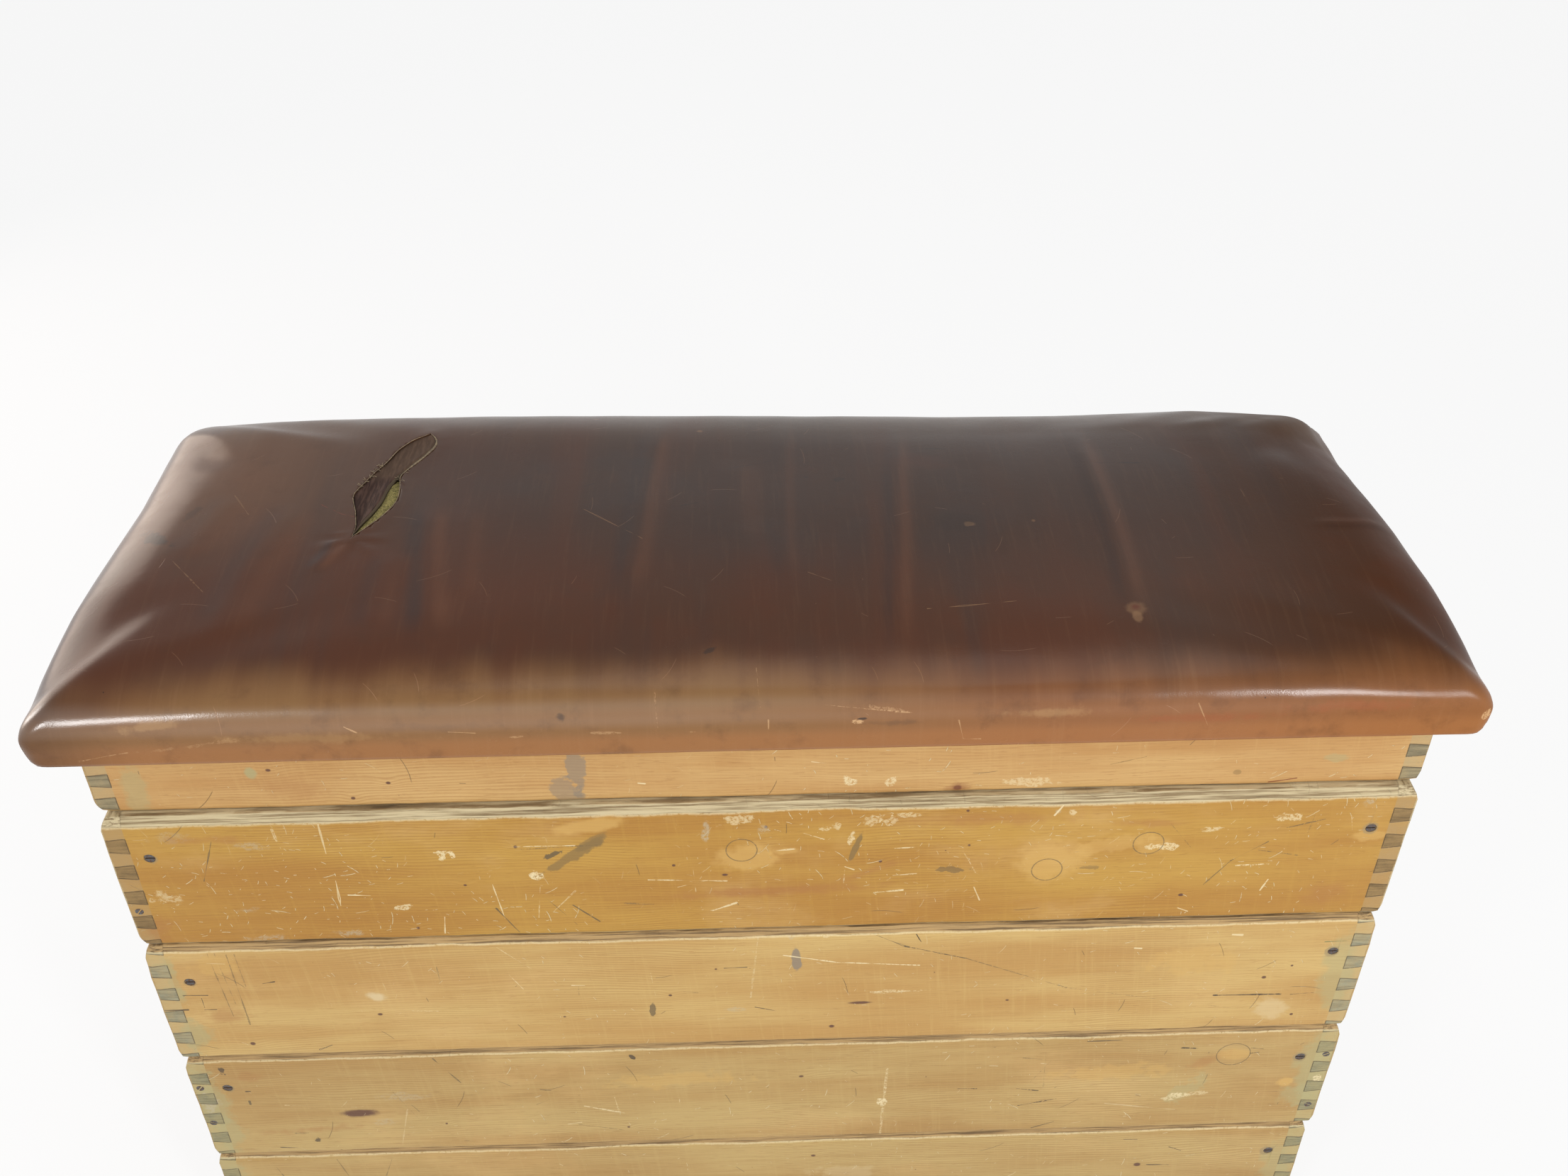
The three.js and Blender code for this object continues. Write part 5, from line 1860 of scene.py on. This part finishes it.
def leather_tones(g, leather, at, flat, axes):
    """The colour from the handled middle to the tan front, and the mask of the rubbed front."""
    x, y, z = axes
    streak_at = g.join(g.times(x, 11.0), g.times(y, 1.3), 0.0)
    streaks = g.noise(streak_at, 1.0, 3.0, 0.55)
    clouds = g.noise(at, 3.2, 4.0, 0.6)
    sway = g.times(g.minus(g.noise(flat, 5.0, 2.0), 0.5), 0.045)
    thin = g.times(g.minus(g.noise(streak_at, 2.4, 2.0), 0.5), 0.035)
    front = g.plus(y, g.plus(sway, thin))
    colour = g.mix(g.ramp(clouds, 0.38, 0.62), as_colour(leather.mid), as_colour(leather.red))
    oval = {"Vector": flat, "Centre": (0.12, 0.09, 0), "Half Size": (0.74, 0.28, 1), "Soft": 0.6}
    dark = g.times(g.group(GROUPS["blot"], oval)["Mask"], g.ramp(front, -0.225, -0.12))
    colour = g.tint(colour, dark, 0.9, as_colour(leather.dark))
    cool = g.times(g.ramp(g.noise(flat, 6.5, 2.0), 0.5, 0.66), dark)
    colour = g.tint(colour, cool, 0.25, paint(56, 48, 46))
    lit = g.times(g.ramp(x, -0.35, -0.62), g.ramp(y, -0.12, 0.1))
    colour = g.tint(colour, lit, 0.45, paint(120, 84, 58))
    # Painted reflection: the rear of the top tinted grey, as the sheen of grazing light shows it
    dust_and_sheen = g.ramp(front, 0.14, 0.27)
    colour = g.tint(colour, dust_and_sheen, 0.5, as_colour(leather.dust_and_sheen))
    warm = g.times(g.ramp(streaks, 0.5, 0.72), 0.5)
    colour = g.mix(warm, colour, as_colour(leather.red))
    deep = g.times(g.ramp(streaks, 0.48, 0.3), 0.4)
    colour = g.mix(deep, colour, paint(56, 42, 36))
    band = g.math("POWER", g.ramp(front, -0.21, -0.294), 1.6)
    # The band fades towards the left front corner: painted shade there, with the shaded tint
    # further down
    band = g.times(band, g.ramp(x, -0.72, -0.54, 0.3, 1.0))
    olive = g.times(band, g.ramp(x, 0.3, -0.05))
    colour = g.tint(colour, band, 0.7, as_colour(leather.tan))
    colour = g.tint(colour, olive, 0.8, as_colour(leather.olive))
    # Painted light and shade beside the creases: lit and reddish on one side, dark shade on the
    # other
    stain = g.add("ShaderNodeAttribute", attribute_name="stain").outputs["Fac"]
    colour = g.mix(g.ramp(stain, 0.0, 1.0, 0.0, 0.42), colour, paint(112, 70, 46))
    colour = g.mix(g.ramp(stain, 0.0, -1.0, 0.0, 0.7), colour, paint(44, 34, 32))
    ahead = g.ramp(y, -0.23, -0.27)
    side = g.times(g.ramp(z, 0.962, 0.94), ahead)
    colour = g.tint(colour, side, 0.85, as_colour(leather.tan))
    olive_side = g.times(side, g.ramp(x, 0.4, -0.1))
    colour = g.tint(colour, olive_side, 0.55, as_colour(leather.olive))
    foot = g.times(g.ramp(z, 0.932, 0.914), ahead)
    colour = g.tint(colour, foot, 0.5, as_colour(leather.foot))
    shaded = g.times(g.ramp(x, -0.62, -0.74), ahead)
    colour = g.tint(colour, shaded, 0.65, paint(84, 57, 38))
    mottle = g.noise(at, 26.0, 5.0, 0.62)
    colour = g.mix(g.ramp(mottle, 0.5, 0.75, 0.0, 0.3), colour, as_colour(leather.mid))
    return colour, band


def leather_scratches(g, colour, band, at, axes):
    """The colour with brushed lines, scratches and specks over it, and the scratches' mask."""
    x, y, z = axes
    brushed = g.noise(g.join(g.times(x, 150.0), g.times(y, 9.0), g.times(z, 9.0)), 1.0, 4.0, 0.65)
    colour = g.tint(colour, g.ramp(brushed, 0.5, 0.75), g.line(band, 0.06, 0.03),
                    paint(168, 128, 92))
    scratches = {"Vector": g.join(x, g.plus(y, z), 0.0), "Cell": 0.05, "Length": 0.5}
    scratches.update({"Width": 0.0010, "Share": 0.25, "Seed": 3.3})
    scratched = g.group(GROUPS["scratches"], scratches)["Mask"]
    colour = g.tint(colour, scratched, g.line(band, 0.3, 0.15), paint(166, 124, 90))
    specked = speckled(g, colour, at, 38.0, 0.14, (0.045, 0.025), 0.75, paint(40, 28, 24))
    return specked, scratched


def polish_leather(g, shader, at, axes):
    """Sets how rough and how shiny the leather is, shiniest along the front crest."""
    x, y, z = axes
    smudge = g.noise(at, 12.0, 4.0, 0.6)
    crest = g.times(g.ramp(y, -0.235, -0.255), g.ramp(z, 0.93, 0.945))
    crest = g.times(crest, g.ramp(z, 0.968, 0.958))
    rough = g.minus(g.ramp(smudge, 0.3, 0.75, 0.18, 0.29), g.times(crest, 0.04))
    rough = g.plus(rough, g.ramp(x, 0.45, 0.7, 0.0, 0.1))
    g.plug(shader.inputs["Roughness"], rough)
    plain = g.ramp(x, 0.4, 0.68, 0.19, 0.03)
    crest = g.times(crest, g.ramp(x, 0.5, 0.7, 1.0, 0.45))
    polish = g.line(crest, g.ramp(x, -0.2, 0.3, 0.6, 0.22), plain)
    shader.inputs["Specular IOR Level"].default_value = 0.2
    g.plug(shader.inputs["Specular IOR Level"], polish)


def leather_material(leather):
    """Old brown leather: dark where hands land, tan in front, creased and scratched."""
    material, g, shader = new_material("worn_leather")
    at = g.add("ShaderNodeTexCoord").outputs["Object"]
    axes = g.parts(at)[:3]
    flat = g.join(axes[0], axes[1], 0.0)
    colour, band = leather_tones(g, leather, at, flat, axes)
    colour, scratched = leather_scratches(g, colour, band, at, axes)
    g.plug(shader.inputs["Base Color"], leather_marks(g, colour, at, flat))
    polish_leather(g, shader, at, axes)
    pores = g.add("ShaderNodeTexVoronoi", {"Vector": at, "Scale": 700.0}).outputs["Distance"]
    height = g.line(pores, 0.35, g.times(g.noise(at, 70.0, 3.0), 1.2))
    height = g.minus(height, g.times(scratched, 0.8))
    g.plug(shader.inputs["Normal"], bumped(g, height, 0.0003, 0.35))
    return material


# Marks on the leather: where they lie (top in x and y, side in x and z, all in mm), their half
# sizes, turn in degrees, colour, strength and raggedness
LEATHER_BLOTS = (
    ("top", -668, -16, 32, 11, -42, "scuff", 0.8, 1.4),
    ("top", -640, 30, 18, 7, 60, "scuff", 0.35, 1.6),
    ("top", 441, 97, 18, 2.0, -3, "scuff", 0.8, 1.2),
    ("top", 214, 142, 24, 1.4, -2, "scuff", 0.7, 1.2), ("top", 94, 72, 9, 6, 0, "scuff", 0.55, 2.2),
    ("top", 56, 79, 4, 2.6, 0, "scuff", 0.6, 1.6), ("top", -70, 194, 8, 5, 0, "pale", 0.45, 1.6),
    ("top", 235, -28, 7, 5, 0, "pale", 0.4, 2.0), ("top", 306, -24, 4, 4, 0, "pale", 0.4, 1.0),
    ("top", -199, 237, 6, 3, 0, "pale", 0.5, 1.2), ("top", 387, -195, 6, 10, 0, "pale", 0.5, 0.9),
    ("top", 388, -180, 13, 13, 0, "pale", 0.4, 0.9),
    ("top", 388, -179, 8, 7, 0, "ember", 0.85, 0.6),
    ("top", 195, 110, 40, 30, 0, "ember", 0.15, 0.8),
    ("top", 215, -20, 34, 22, 0, "scuff", 0.3, 0.8),
    ("top", -57, -226, 7, 3, 30, "scuff", 0.6, 1.6), ("side", 91, 935, 7, 3, 0, "chalk_and_glint", 0.95, 1.4),
    ("side", 96, 939, 5, 1.6, 0, "scuff", 0.8, 1.4),
    ("side", 125, 949, 24, 2.4, -10, "chalk_and_glint", 0.35, 3.0),
    ("side", 128, 933, 40, 5, 0, "soot", 0.5, 1.8),
    ("side", 290, 940, 60, 7, 0, "straw", 0.35, 1.8),
    ("side", -80, 926, 9, 1.4, 0, "chalk_and_glint", 0.6, 2.6),
    ("side", -160, 928, 14, 1.2, -2, "chalk_and_glint", 0.4, 2.6),
    ("side", -250, 925, 6, 1.2, 6, "chalk_and_glint", 0.4, 2.4),
    ("side", -205, 948, 6, 5, 0, "scuff", 0.6, 1.8),
    ("side", -560, 925, 60, 3, 8, "chalk_and_glint", 0.22, 2.8),
    ("side", -612, 948, 30, 6, 10, "straw", 0.4, 2.4),
    ("side", -470, 930, 120, 8, 0, "straw", 0.25, 1.8),
    ("side", -330, 940, 50, 8, 0, "soot", 0.25, 1.8),
    ("side", 736, 925, 5, 7, -30, "chalk_and_glint", 0.9, 1.2),
    ("side", 430, 930, 110, 8, 0, "warm", 0.4, 1.2),
    ("side", 600, 940, 90, 10, 0, "warm", 0.4, 1.4),
)
LEATHER_STROKES = (
    ("top", -497, 35, -470, 14, 1.4, "red", 0.9, 0.5),
    ("top", -470, 14, -452, 6, 1.6, "red", 0.9, 0.4),
    ("top", -205, 20, -130, -48, 0.8, "pale", 0.6, 0.3),
    ("top", 171, -173, 265, -165, 0.9, "pale", 0.7, 0.35),
    ("top", 49, -112, 83, -132, 0.8, "pale", 0.5, 0.3),
    ("top", -60, 89, 17, 118, 1.2, "scuff", 0.5, 0.4),
    ("top", -88, 18, -70, 24, 1.2, "scuff", 0.8, 0.2),
    ("top", -207, 62, -190, 68, 1.0, "scuff", 0.8, 0.2),
    ("top", 400, 98, 422, 98, 1.4, "scuff", 0.6, 0.4),
    ("top", -640, -60, -590, -120, 1.0, "pale", 0.5, 0.45),
    ("top", -600, 60, -575, 20, 0.9, "pale", 0.45, 0.4),
    ("side", 436, 948, 450, 918, 1.0, "chalk_and_glint", 0.5, 0.45),
    ("side", 59, 955, 146, 945, 1.2, "chalk_and_glint", 0.6, 0.5),
    ("side", -9, 978, -6, 954, 1.4, "chalk_and_glint", 0.3, 0.5),
    ("side", 2, 940, 2, 928, 2.0, "chalk_and_glint", 0.6, 0.4),
    ("side", -111, 967, -109, 933, 1.0, "chalk_and_glint", 0.35, 0.5),
    ("side", 194, 934, 200, 909, 1.6, "chalk_and_glint", 0.6, 0.42),
    ("side", 200, 909, 218, 908, 1.6, "chalk_and_glint", 0.6, 0.42),
    ("side", -690, 905, -640, 915, 1.6, "chalk_and_glint", 0.5, 0.5),
    ("side", -420, 944, -409, 936, 1.6, "chalk_and_glint", 0.7, 0.4),
    ("side", -318, 934, -292, 931, 1.2, "chalk_and_glint", 0.5, 0.4),
)


def leather_marks(g, colour, at, flat):
    """The leather's colour with its scuffs, scars and scratches laid over it."""
    x, y, z = g.parts(at)[:3]
    face = g.join(x, z, 0.0)
    places = {"top": (flat, g.ramp(z, 0.955, 0.965)), "side": (face, g.math("LESS_THAN", y, -0.24))}
    regions = {name: (*place, shared_noise(g, place[0])) for name, place in places.items()}
    colours = {"scuff": paint(46, 35, 30), "pale": paint(136, 102, 72),
               "chalk_and_glint": paint(196, 156, 112), "warm": paint(150, 84, 52), "red": paint(120, 58, 38),
               "ember": paint(92, 48, 32), "straw": paint(176, 138, 92), "soot": paint(104, 76, 54)}
    for region, *blot in LEATHER_BLOTS:
        place, here, unevens = regions[region]
        colour = lay_blot(g, colour, place, unevens, blot, colours, here)
    for region, *stroke in LEATHER_STROKES:
        place, here, unevens = regions[region]
        colour = lay_stroke(g, colour, place, unevens, stroke, colours, here)
    return colour


def flap_material(leather):
    """The torn leather: its darker face and its pale fibrous cut edge."""
    material, g, shader = new_material("torn_leather")
    at = g.add("ShaderNodeTexCoord").outputs["Object"]
    x, y, _ = g.parts(at)[:3]
    normal = g.add("ShaderNodeNewGeometry").outputs["Normal"]
    up = g.parts(normal)[2]
    streaks = g.noise(g.join(g.times(x, 300.0), g.times(y, 40.0), 0.0), 1.0)
    upper = g.mix(g.ramp(streaks, 0.4, 0.65), paint(76, 59, 48), paint(90, 71, 58))
    lower = g.mix(g.ramp(streaks, 0.4, 0.65), paint(54, 39, 34), paint(80, 60, 52))
    face = g.mix(g.ramp(y, 0.075, 0.1), lower, upper)
    fibres = g.mix(g.noise(at, 900.0, 4.0, 0.7), paint(60, 52, 42), as_colour(leather.cut_edge))
    colour = g.mix(g.ramp(up, 0.9, 0.66), face, fibres)
    g.plug(shader.inputs["Base Color"], colour)
    g.plug(shader.inputs["Roughness"], g.ramp(up, 0.9, 0.6, 0.6, 0.85))
    shader.inputs["Specular IOR Level"].default_value = 0.06
    g.plug(shader.inputs["Normal"], bumped(g, streaks, 0.0006, 0.8))
    return material


def thread_material(leather):
    """The pale ochre threads of the torn backing."""
    material, g, shader = new_material("backing_thread")
    at = g.add("ShaderNodeTexCoord").outputs["Object"]
    tone = g.noise(at, 300.0, 2.0)
    pale = g.mix(g.ramp(tone, 0.35, 0.7), as_colour(leather.cut_edge), paint(148, 130, 102))
    g.plug(shader.inputs["Base Color"], pale)
    g.plug(shader.inputs["Roughness"], g.line(tone, 0.1, 0.85))
    return material


def felt_material(leather):
    """Matted greenish felt."""
    material, g, shader = new_material("felt")
    at = g.add("ShaderNodeTexCoord").outputs["Object"]
    hairs = g.noise(at, 520.0, 5.0, 0.75, 1.2)
    tufts = g.noise(at, 190.0, 3.0, 0.6)
    colour = g.mix(g.ramp(hairs, 0.35, 0.62), paint(92, 88, 44), as_colour(leather.felt))
    colour = g.tint(colour, g.ramp(tufts, 0.5, 0.34), 0.5, paint(70, 64, 34))
    grit = g.noise(at, 900.0, 2.0)
    colour = g.tint(colour, g.ramp(grit, 0.6, 0.68), 0.7, paint(50, 44, 26))
    g.plug(shader.inputs["Base Color"], colour)
    g.plug(shader.inputs["Roughness"], g.line(hairs, 0.1, 0.88))
    g.plug(shader.inputs["Normal"], bumped(g, hairs, 0.0012, 1.0))
    return material


class VAULT_OT_leather(bpy.types.Operator):
    """Makes the leather cover, swollen by its stuffing, creased by use, and torn"""

    bl_idname = "vault.leather"
    bl_label = "Leather Cover"

    def execute(self, context):
        leather = context.scene.vault_leather
        mesh, shape = leather_shell(leather)
        cover = add_piece("leather_top", mesh, leather_material(leather))
        swell(cover, leather, shape)
        smooth = cover.modifiers.new("Smooth", "SUBSURF")
        smooth.levels = smooth.render_levels = 1
        mesh = apply_modifiers(cover)
        settle_leather(mesh, shape)
        wall = cover.modifiers.new("Wall", "SOLIDIFY")
        wall.thickness = leather.thickness
        wall.offset = -1
        apply_modifiers(cover)
        context.view_layer.update()
        surface = Surface(cover)
        flap = torn_flap(surface, leather.flap_thickness)
        rim = tear_rim(surface)
        tuft = felt_tuft(surface)
        frays = mesh_of("frayed_threads", fray_places(surface), [])
        cut_tear(cover, shape.widest + leather.shoulder_rise)
        finish_piece(cover, body_of(TOP), "leather", "leather_cover")
        flap_piece = add_piece("torn_flap", flap, flap_material(leather))
        finish_piece(flap_piece, body_of(TOP), "leather")
        felt = felt_material(leather)
        finish_piece(add_piece("felt_tuft", tuft, felt), body_of(TOP), "felt_padding")
        backing = thread_material(leather)
        finish_piece(add_piece("tear_rim", rim, backing), body_of(TOP), "leather")
        values = {"Length": 0.006, "Radius": 0.0003, "Seed": 11, "Material": backing}
        threads, _ = grown("frayed_threads", frays, thread_tree(), values)
        finish_piece(threads, body_of(TOP), "felt_padding")
        return {"FINISHED"}


class VAULT_OT_felt(bpy.types.Operator):
    """Makes the felt padding under the leather"""

    bl_idname = "vault.felt"
    bl_label = "Felt Padding"

    def execute(self, context):
        leather = context.scene.vault_leather
        mesh = felt_shell(leather)
        tuck_under(mesh, bpy.data.objects["leather_top"],
                   leather.thickness + 0.5 * leather.felt_gap)
        felt = add_piece("felt_padding", mesh, bpy.data.materials["felt"])
        finish_piece(felt, body_of(TOP), "felt_padding", "padding")
        return {"FINISHED"}


# Screws and tacks


def scatter_tree(name, sockets):
    """An empty geometry tree with a geometry input, named inputs and a geometry output."""
    tree = bpy.data.node_groups.new(name, "GeometryNodeTree")
    new_socket = tree.interface.new_socket
    new_socket(name="Geometry", in_out="INPUT", socket_type="NodeSocketGeometry")
    for label, kind in sockets:
        new_socket(name=label, in_out="INPUT", socket_type=kind)
    new_socket(name="Geometry", in_out="OUTPUT", socket_type="NodeSocketGeometry")
    graph = Graph(tree)
    return tree, graph, graph.add("NodeGroupInput").outputs, graph.add("NodeGroupOutput")


def scatter(g, i, out, points, instance, **turns):
    """Puts the instance on the points, as plain geometry with the input's material."""
    inputs = {"Points": points, "Instance": instance, **turns}
    placed = g.add("GeometryNodeInstanceOnPoints", inputs).outputs[0]
    real = g.add("GeometryNodeRealizeInstances", {"Geometry": placed}).outputs[0]
    done = g.add("GeometryNodeSetMaterial", {"Geometry": real, "Material": i["Material"]})
    g.plug(out.inputs["Geometry"], done.outputs[0])


def tack_tree():
    """Domed tack heads spaced along the edges of the input."""
    sockets = [("Spacing", FLOAT), ("Radius", FLOAT), ("Material", "NodeSocketMaterial")]
    tree, g, i, out = scatter_tree("Tacks", sockets)
    line = g.add("GeometryNodeMeshToCurve", {"Mesh": i["Geometry"]}).outputs[0]
    spaced = {"Curve": line, "Length": i["Spacing"]}
    places = g.add("GeometryNodeResampleCurve", spaced, mode="LENGTH").outputs[0]
    ball = g.add("GeometryNodeMeshUVSphere", {"Segments": 10, "Rings": 6, "Radius": 1.0}).outputs[0]
    flat = g.add("ShaderNodeCombineXYZ", {0: i["Radius"], 1: i["Radius"]}).outputs[0]
    rise = g.times(i["Radius"], 0.36)
    g.plug(flat.node.inputs[2], rise)
    head = g.add("GeometryNodeTransform", {"Geometry": ball, "Scale": flat}).outputs[0]
    scatter(g, i, out, places, head)
    return tree


def screw_tree():
    """One screw head on each point of the input, with its slot turned by chance."""
    sockets = [("Head", "NodeSocketObject"), ("Seed", "NodeSocketInt"),
               ("Material", "NodeSocketMaterial")]
    tree, g, i, out = scatter_tree("Repair Screws", sockets)
    points = g.add("GeometryNodeMeshToPoints", {"Mesh": i["Geometry"]}).outputs[0]
    head = g.add("GeometryNodeObjectInfo", {"Object": i["Head"]}).outputs["Geometry"]
    turn = g.add("FunctionNodeRandomValue", {"Seed": i["Seed"]}, data_type="FLOAT")
    g.plug(turn.inputs[3], math.pi)
    angle = g.add("ShaderNodeCombineXYZ", {1: turn.outputs[1]}).outputs[0]
    scatter(g, i, out, points, head, Rotation=angle)
    return tree


def grown(name, mesh, tree, values):
    """The mesh that a geometry tree makes from a mesh, as a plain mesh."""
    seed_object = in_scene(name, mesh)
    modifier = seed_object.modifiers.new(tree.name, "NODES")
    modifier.node_group = tree
    for item in tree.interface.items_tree:
        if item.in_out == "INPUT" and item.name in values:
            modifier[item.identifier] = values[item.name]
    made = apply_modifiers(seed_object)
    return seed_object, made


def slotted_head(radius):
    """A flat slotted screw head that faces along -Y."""
    bm = bmesh.new()
    sides, rings = 16, ((1.0, 0.0), (0.92, -0.12), (0.0, -0.14))
    loops = []
    for reach, rise in rings:
        loop = []
        for k in range(sides if reach > 0 else 1):
            turn = 2 * math.pi * (k + 0.5) / sides
            place = (radius * reach * math.cos(turn), radius * rise,
                     radius * reach * math.sin(turn))
            loop.append(bm.verts.new(place))
        loops.append(loop)
    for k in range(sides):
        after = (k + 1) % sides
        bm.faces.new((loops[0][k], loops[0][after], loops[1][after], loops[1][k]))
        bm.faces.new((loops[1][k], loops[1][after], loops[2][0]))
    bm.faces.new(loops[0][::-1])
    bmesh.ops.recalc_face_normals(bm, faces=bm.faces)
    return mesh_from(bm, "screw_head")


def cut_slot(head, radius):
    """Cuts the driver's slot into a screw head."""
    bm = bmesh.new()
    bmesh.ops.create_cube(bm, size=1.0)
    scale = Matrix.Diagonal((3 * radius, 0.2 * radius, 0.24 * radius, 1))
    bmesh.ops.transform(bm, matrix=Matrix.Translation((0, -0.14 * radius, 0)) @ scale,
                        verts=bm.verts)
    cut_away(head, mesh_from(bm, "slot_cutter"))


# Repair screws in the front joints: distance from the end and height below the visible top, in mm
REPAIR_SCREWS = {
    "section_2": ((-1, 11, 133),),
    "section_4": ((-1, 9, 49), (-1, 10, 120), (1, 10, 46), (1, 12, 150)),
}


class VAULT_OT_screws(bpy.types.Operator):
    """Finishes the post screws and adds the later repair screws"""

    bl_idname = "vault.screws"
    bl_label = "Screws"

    def execute(self, context):
        fasteners = context.scene.vault_fasteners
        steel = steel_material(fasteners)
        for name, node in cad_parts.items():
            if name.endswith("_screw"):
                node.material_slots[0].material = steel
        head = in_scene("screw_head", slotted_head(fasteners.screw_radius))
        cut_slot(head, fasteners.screw_radius)
        tree = screw_tree()
        for section, places in REPAIR_SCREWS.items():
            low, high = section_box(section)
            points = []
            for side, inward, below in places:
                x = low.x + inward * MM if side < 0 else high.x - inward * MM
                points.append((x, low.y + 0.0006, high.z - HEAD_DROP - below * MM))
            mesh = mesh_of("repair_screws_" + section, points, [])
            values = {"Head": head, "Seed": 4, "Material": steel}
            screws, _ = grown(mesh.name, mesh, tree, values)
            finish_piece(screws, body_of(section), "screw_steel")
        bpy.data.objects.remove(head)
        return {"FINISHED"}


class VAULT_OT_tacks(bpy.types.Operator):
    """Adds the tacks that hold the leather under the deck"""

    bl_idname = "vault.tacks"
    bl_label = "Tacks"

    def execute(self, context):
        leather = context.scene.vault_leather
        fasteners = context.scene.vault_fasteners
        shape = PadShape(leather, 0.0, 0.05)
        inset = leather.side_draw_in + 0.6 * leather.turn_under
        points = shape.ring(inset, inset, shape.low.z, leather.hem_radius, crowned=False)
        count = len(points)
        edges = [(k, (k + 1) % count) for k in range(count)]
        mesh = mesh_of("hem_tacks", points, [], edges)
        values = {"Spacing": fasteners.tack_spacing, "Radius": fasteners.tack_radius}
        values["Material"] = bpy.data.materials["old_steel"]
        tacks, _ = grown("hem_tacks", mesh, tack_tree(), values)
        finish_piece(tacks, body_of(TOP), "screw_steel")
        return {"FINISHED"}


# Stage


CAMERA_PLACE = Vector((-0.0240, -1.4564, 1.9807))
CAMERA_PITCH = 0.6409
CAMERA_YAW = 0.0353
CAMERA_ROLL = 0.0007
SENSOR_WIDTH = 36.0


def add_camera(stage):
    data = bpy.data.cameras.new("photo_camera")
    data.sensor_fit = "HORIZONTAL"
    data.sensor_width = SENSOR_WIDTH
    data.lens = stage.lens
    data.clip_end = 200
    camera = in_scene("photo_camera", data)
    turn = Matrix.Rotation(-CAMERA_YAW, 4, "Z")
    turn = turn @ Matrix.Rotation(math.pi / 2 - CAMERA_PITCH, 4, "X")
    turn = turn @ Matrix.Rotation(CAMERA_ROLL, 4, "Z")
    camera.matrix_world = Matrix.Translation(CAMERA_PLACE) @ turn
    bpy.context.scene.camera = camera


def add_lamp(name, place, target, size, power, tint=(1.0, 1.0, 1.0)):
    data = bpy.data.lights.new(name, "AREA")
    data.shape = "RECTANGLE"
    data.size, data.size_y = size
    data.energy = power
    data.color = tint
    lamp = in_scene(name, data)
    lamp.location = place
    lamp.rotation_euler = (Vector(target) - Vector(place)).to_track_quat("-Z", "Y").to_euler()


def background_seen(g):
    """1 on the rays that show the background, 0 on those that light the object."""
    path = g.add("ShaderNodeLightPath").outputs
    seen = g.most(path["Is Camera Ray"], path["Is Glossy Ray"])
    return g.most(seen, path["Is Transmission Ray"])


def floor_material(stage):
    material, g, shader = new_material("studio_floor")
    shader.inputs["Base Color"].default_value = (*as_colour(stage.floor_colour), 1)
    shader.inputs["Roughness"].default_value = 0.9
    seen = background_seen(g)
    white = g.add("ShaderNodeEmission", {"Strength": 1.0})
    blend = g.add("ShaderNodeMixShader", {0: g.times(seen, 0.86)})
    g.plug(blend.inputs[1], shader.outputs[0])
    g.plug(blend.inputs[2], white.outputs[0])
    output = material.node_tree.nodes["Material Output"]
    g.plug(output.inputs["Surface"], blend.outputs[0])
    return material


def light_world(stage):
    world = bpy.data.worlds.new("studio")
    world.use_nodes = True
    bpy.context.scene.world = world
    g = Graph(world.node_tree)
    backdrop = g.line(background_seen(g), 1.0 - stage.sky, stage.sky)
    g.plug(world.node_tree.nodes["Background"].inputs["Strength"], backdrop)
    g.plug(world.node_tree.nodes["Background"].inputs["Color"], (1.0, 1.0, 1.0, 1.0))


class VAULT_OT_stage(bpy.types.Operator):
    """Adds the floor, soft studio light and the camera"""

    bl_idname = "vault.stage"
    bl_label = "Stage"

    def execute(self, context):
        stage = context.scene.vault_stage
        half = stage.floor_size / 2
        corners = [(-half, -half, 0), (half, -half, 0), (half, half, 0), (-half, half, 0)]
        mesh = mesh_of("studio_floor", corners, [(0, 1, 2, 3)])
        floor = add_piece("studio_floor", mesh, floor_material(stage))
        light_world(stage)
        add_lamp("window", (-2.2, -3.1, 2.0), (-0.2, 0, 0.6), (0.5, 0.9), 33)
        add_lamp("room", (2.0, -3.2, 1.9), (0.2, 0, 0.5), (0.45, 0.9), 73)
        add_lamp("ceiling", (0.6, -0.4, 4.6), (0, 0, 0.8), (2.6, 2.6), 34)
        add_lamp("doorway", (-3.05, 1.75, 1.45), (-0.5, 0, 0.95), (2.6, 2.0), 38, (1.0, 0.82, 0.68))
        add_lamp("pane", (-3.0, 0.8, 1.35), (-0.5, 0, 0.95), (0.5, 0.9), 7)
        add_camera(stage)
        context.scene.view_settings.view_transform = "Standard"
        return {"FINISHED"}


class VAULT_PT_sidebar(bpy.types.Panel):
    bl_idname = "VAULT_PT_sidebar"
    bl_label = "Vaulting Box"
    bl_space_type = "VIEW_3D"
    bl_region_type = "UI"
    bl_category = "Vaulting Box"

    def draw(self, context):
        for operator in OPERATORS:
            self.layout.operator(operator.bl_idname)


OPERATORS = (VAULT_OT_frames, VAULT_OT_inner_timber, VAULT_OT_screws, VAULT_OT_felt,
             VAULT_OT_leather, VAULT_OT_tacks, VAULT_OT_stage)


def register():
    for group in SETTINGS.values():
        bpy.utils.register_class(group)
    for name, group in SETTINGS.items():
        setattr(bpy.types.Scene, name, bpy.props.PointerProperty(type=group))
    for operator in OPERATORS:
        bpy.utils.register_class(operator)
    bpy.utils.register_class(VAULT_PT_sidebar)


def unregister():
    bpy.utils.unregister_class(VAULT_PT_sidebar)
    for operator in reversed(OPERATORS):
        bpy.utils.unregister_class(operator)
    for name, group in SETTINGS.items():
        delattr(bpy.types.Scene, name)
        bpy.utils.unregister_class(group)


def main():
    register()
    build_groups()
    bpy.ops.vault.frames()
    bpy.ops.vault.inner_timber()
    bpy.ops.vault.screws()
    bpy.ops.vault.leather()
    bpy.ops.vault.felt()
    bpy.ops.vault.tacks()
    bpy.ops.vault.stage()


if __name__ == "__main__":
    main()
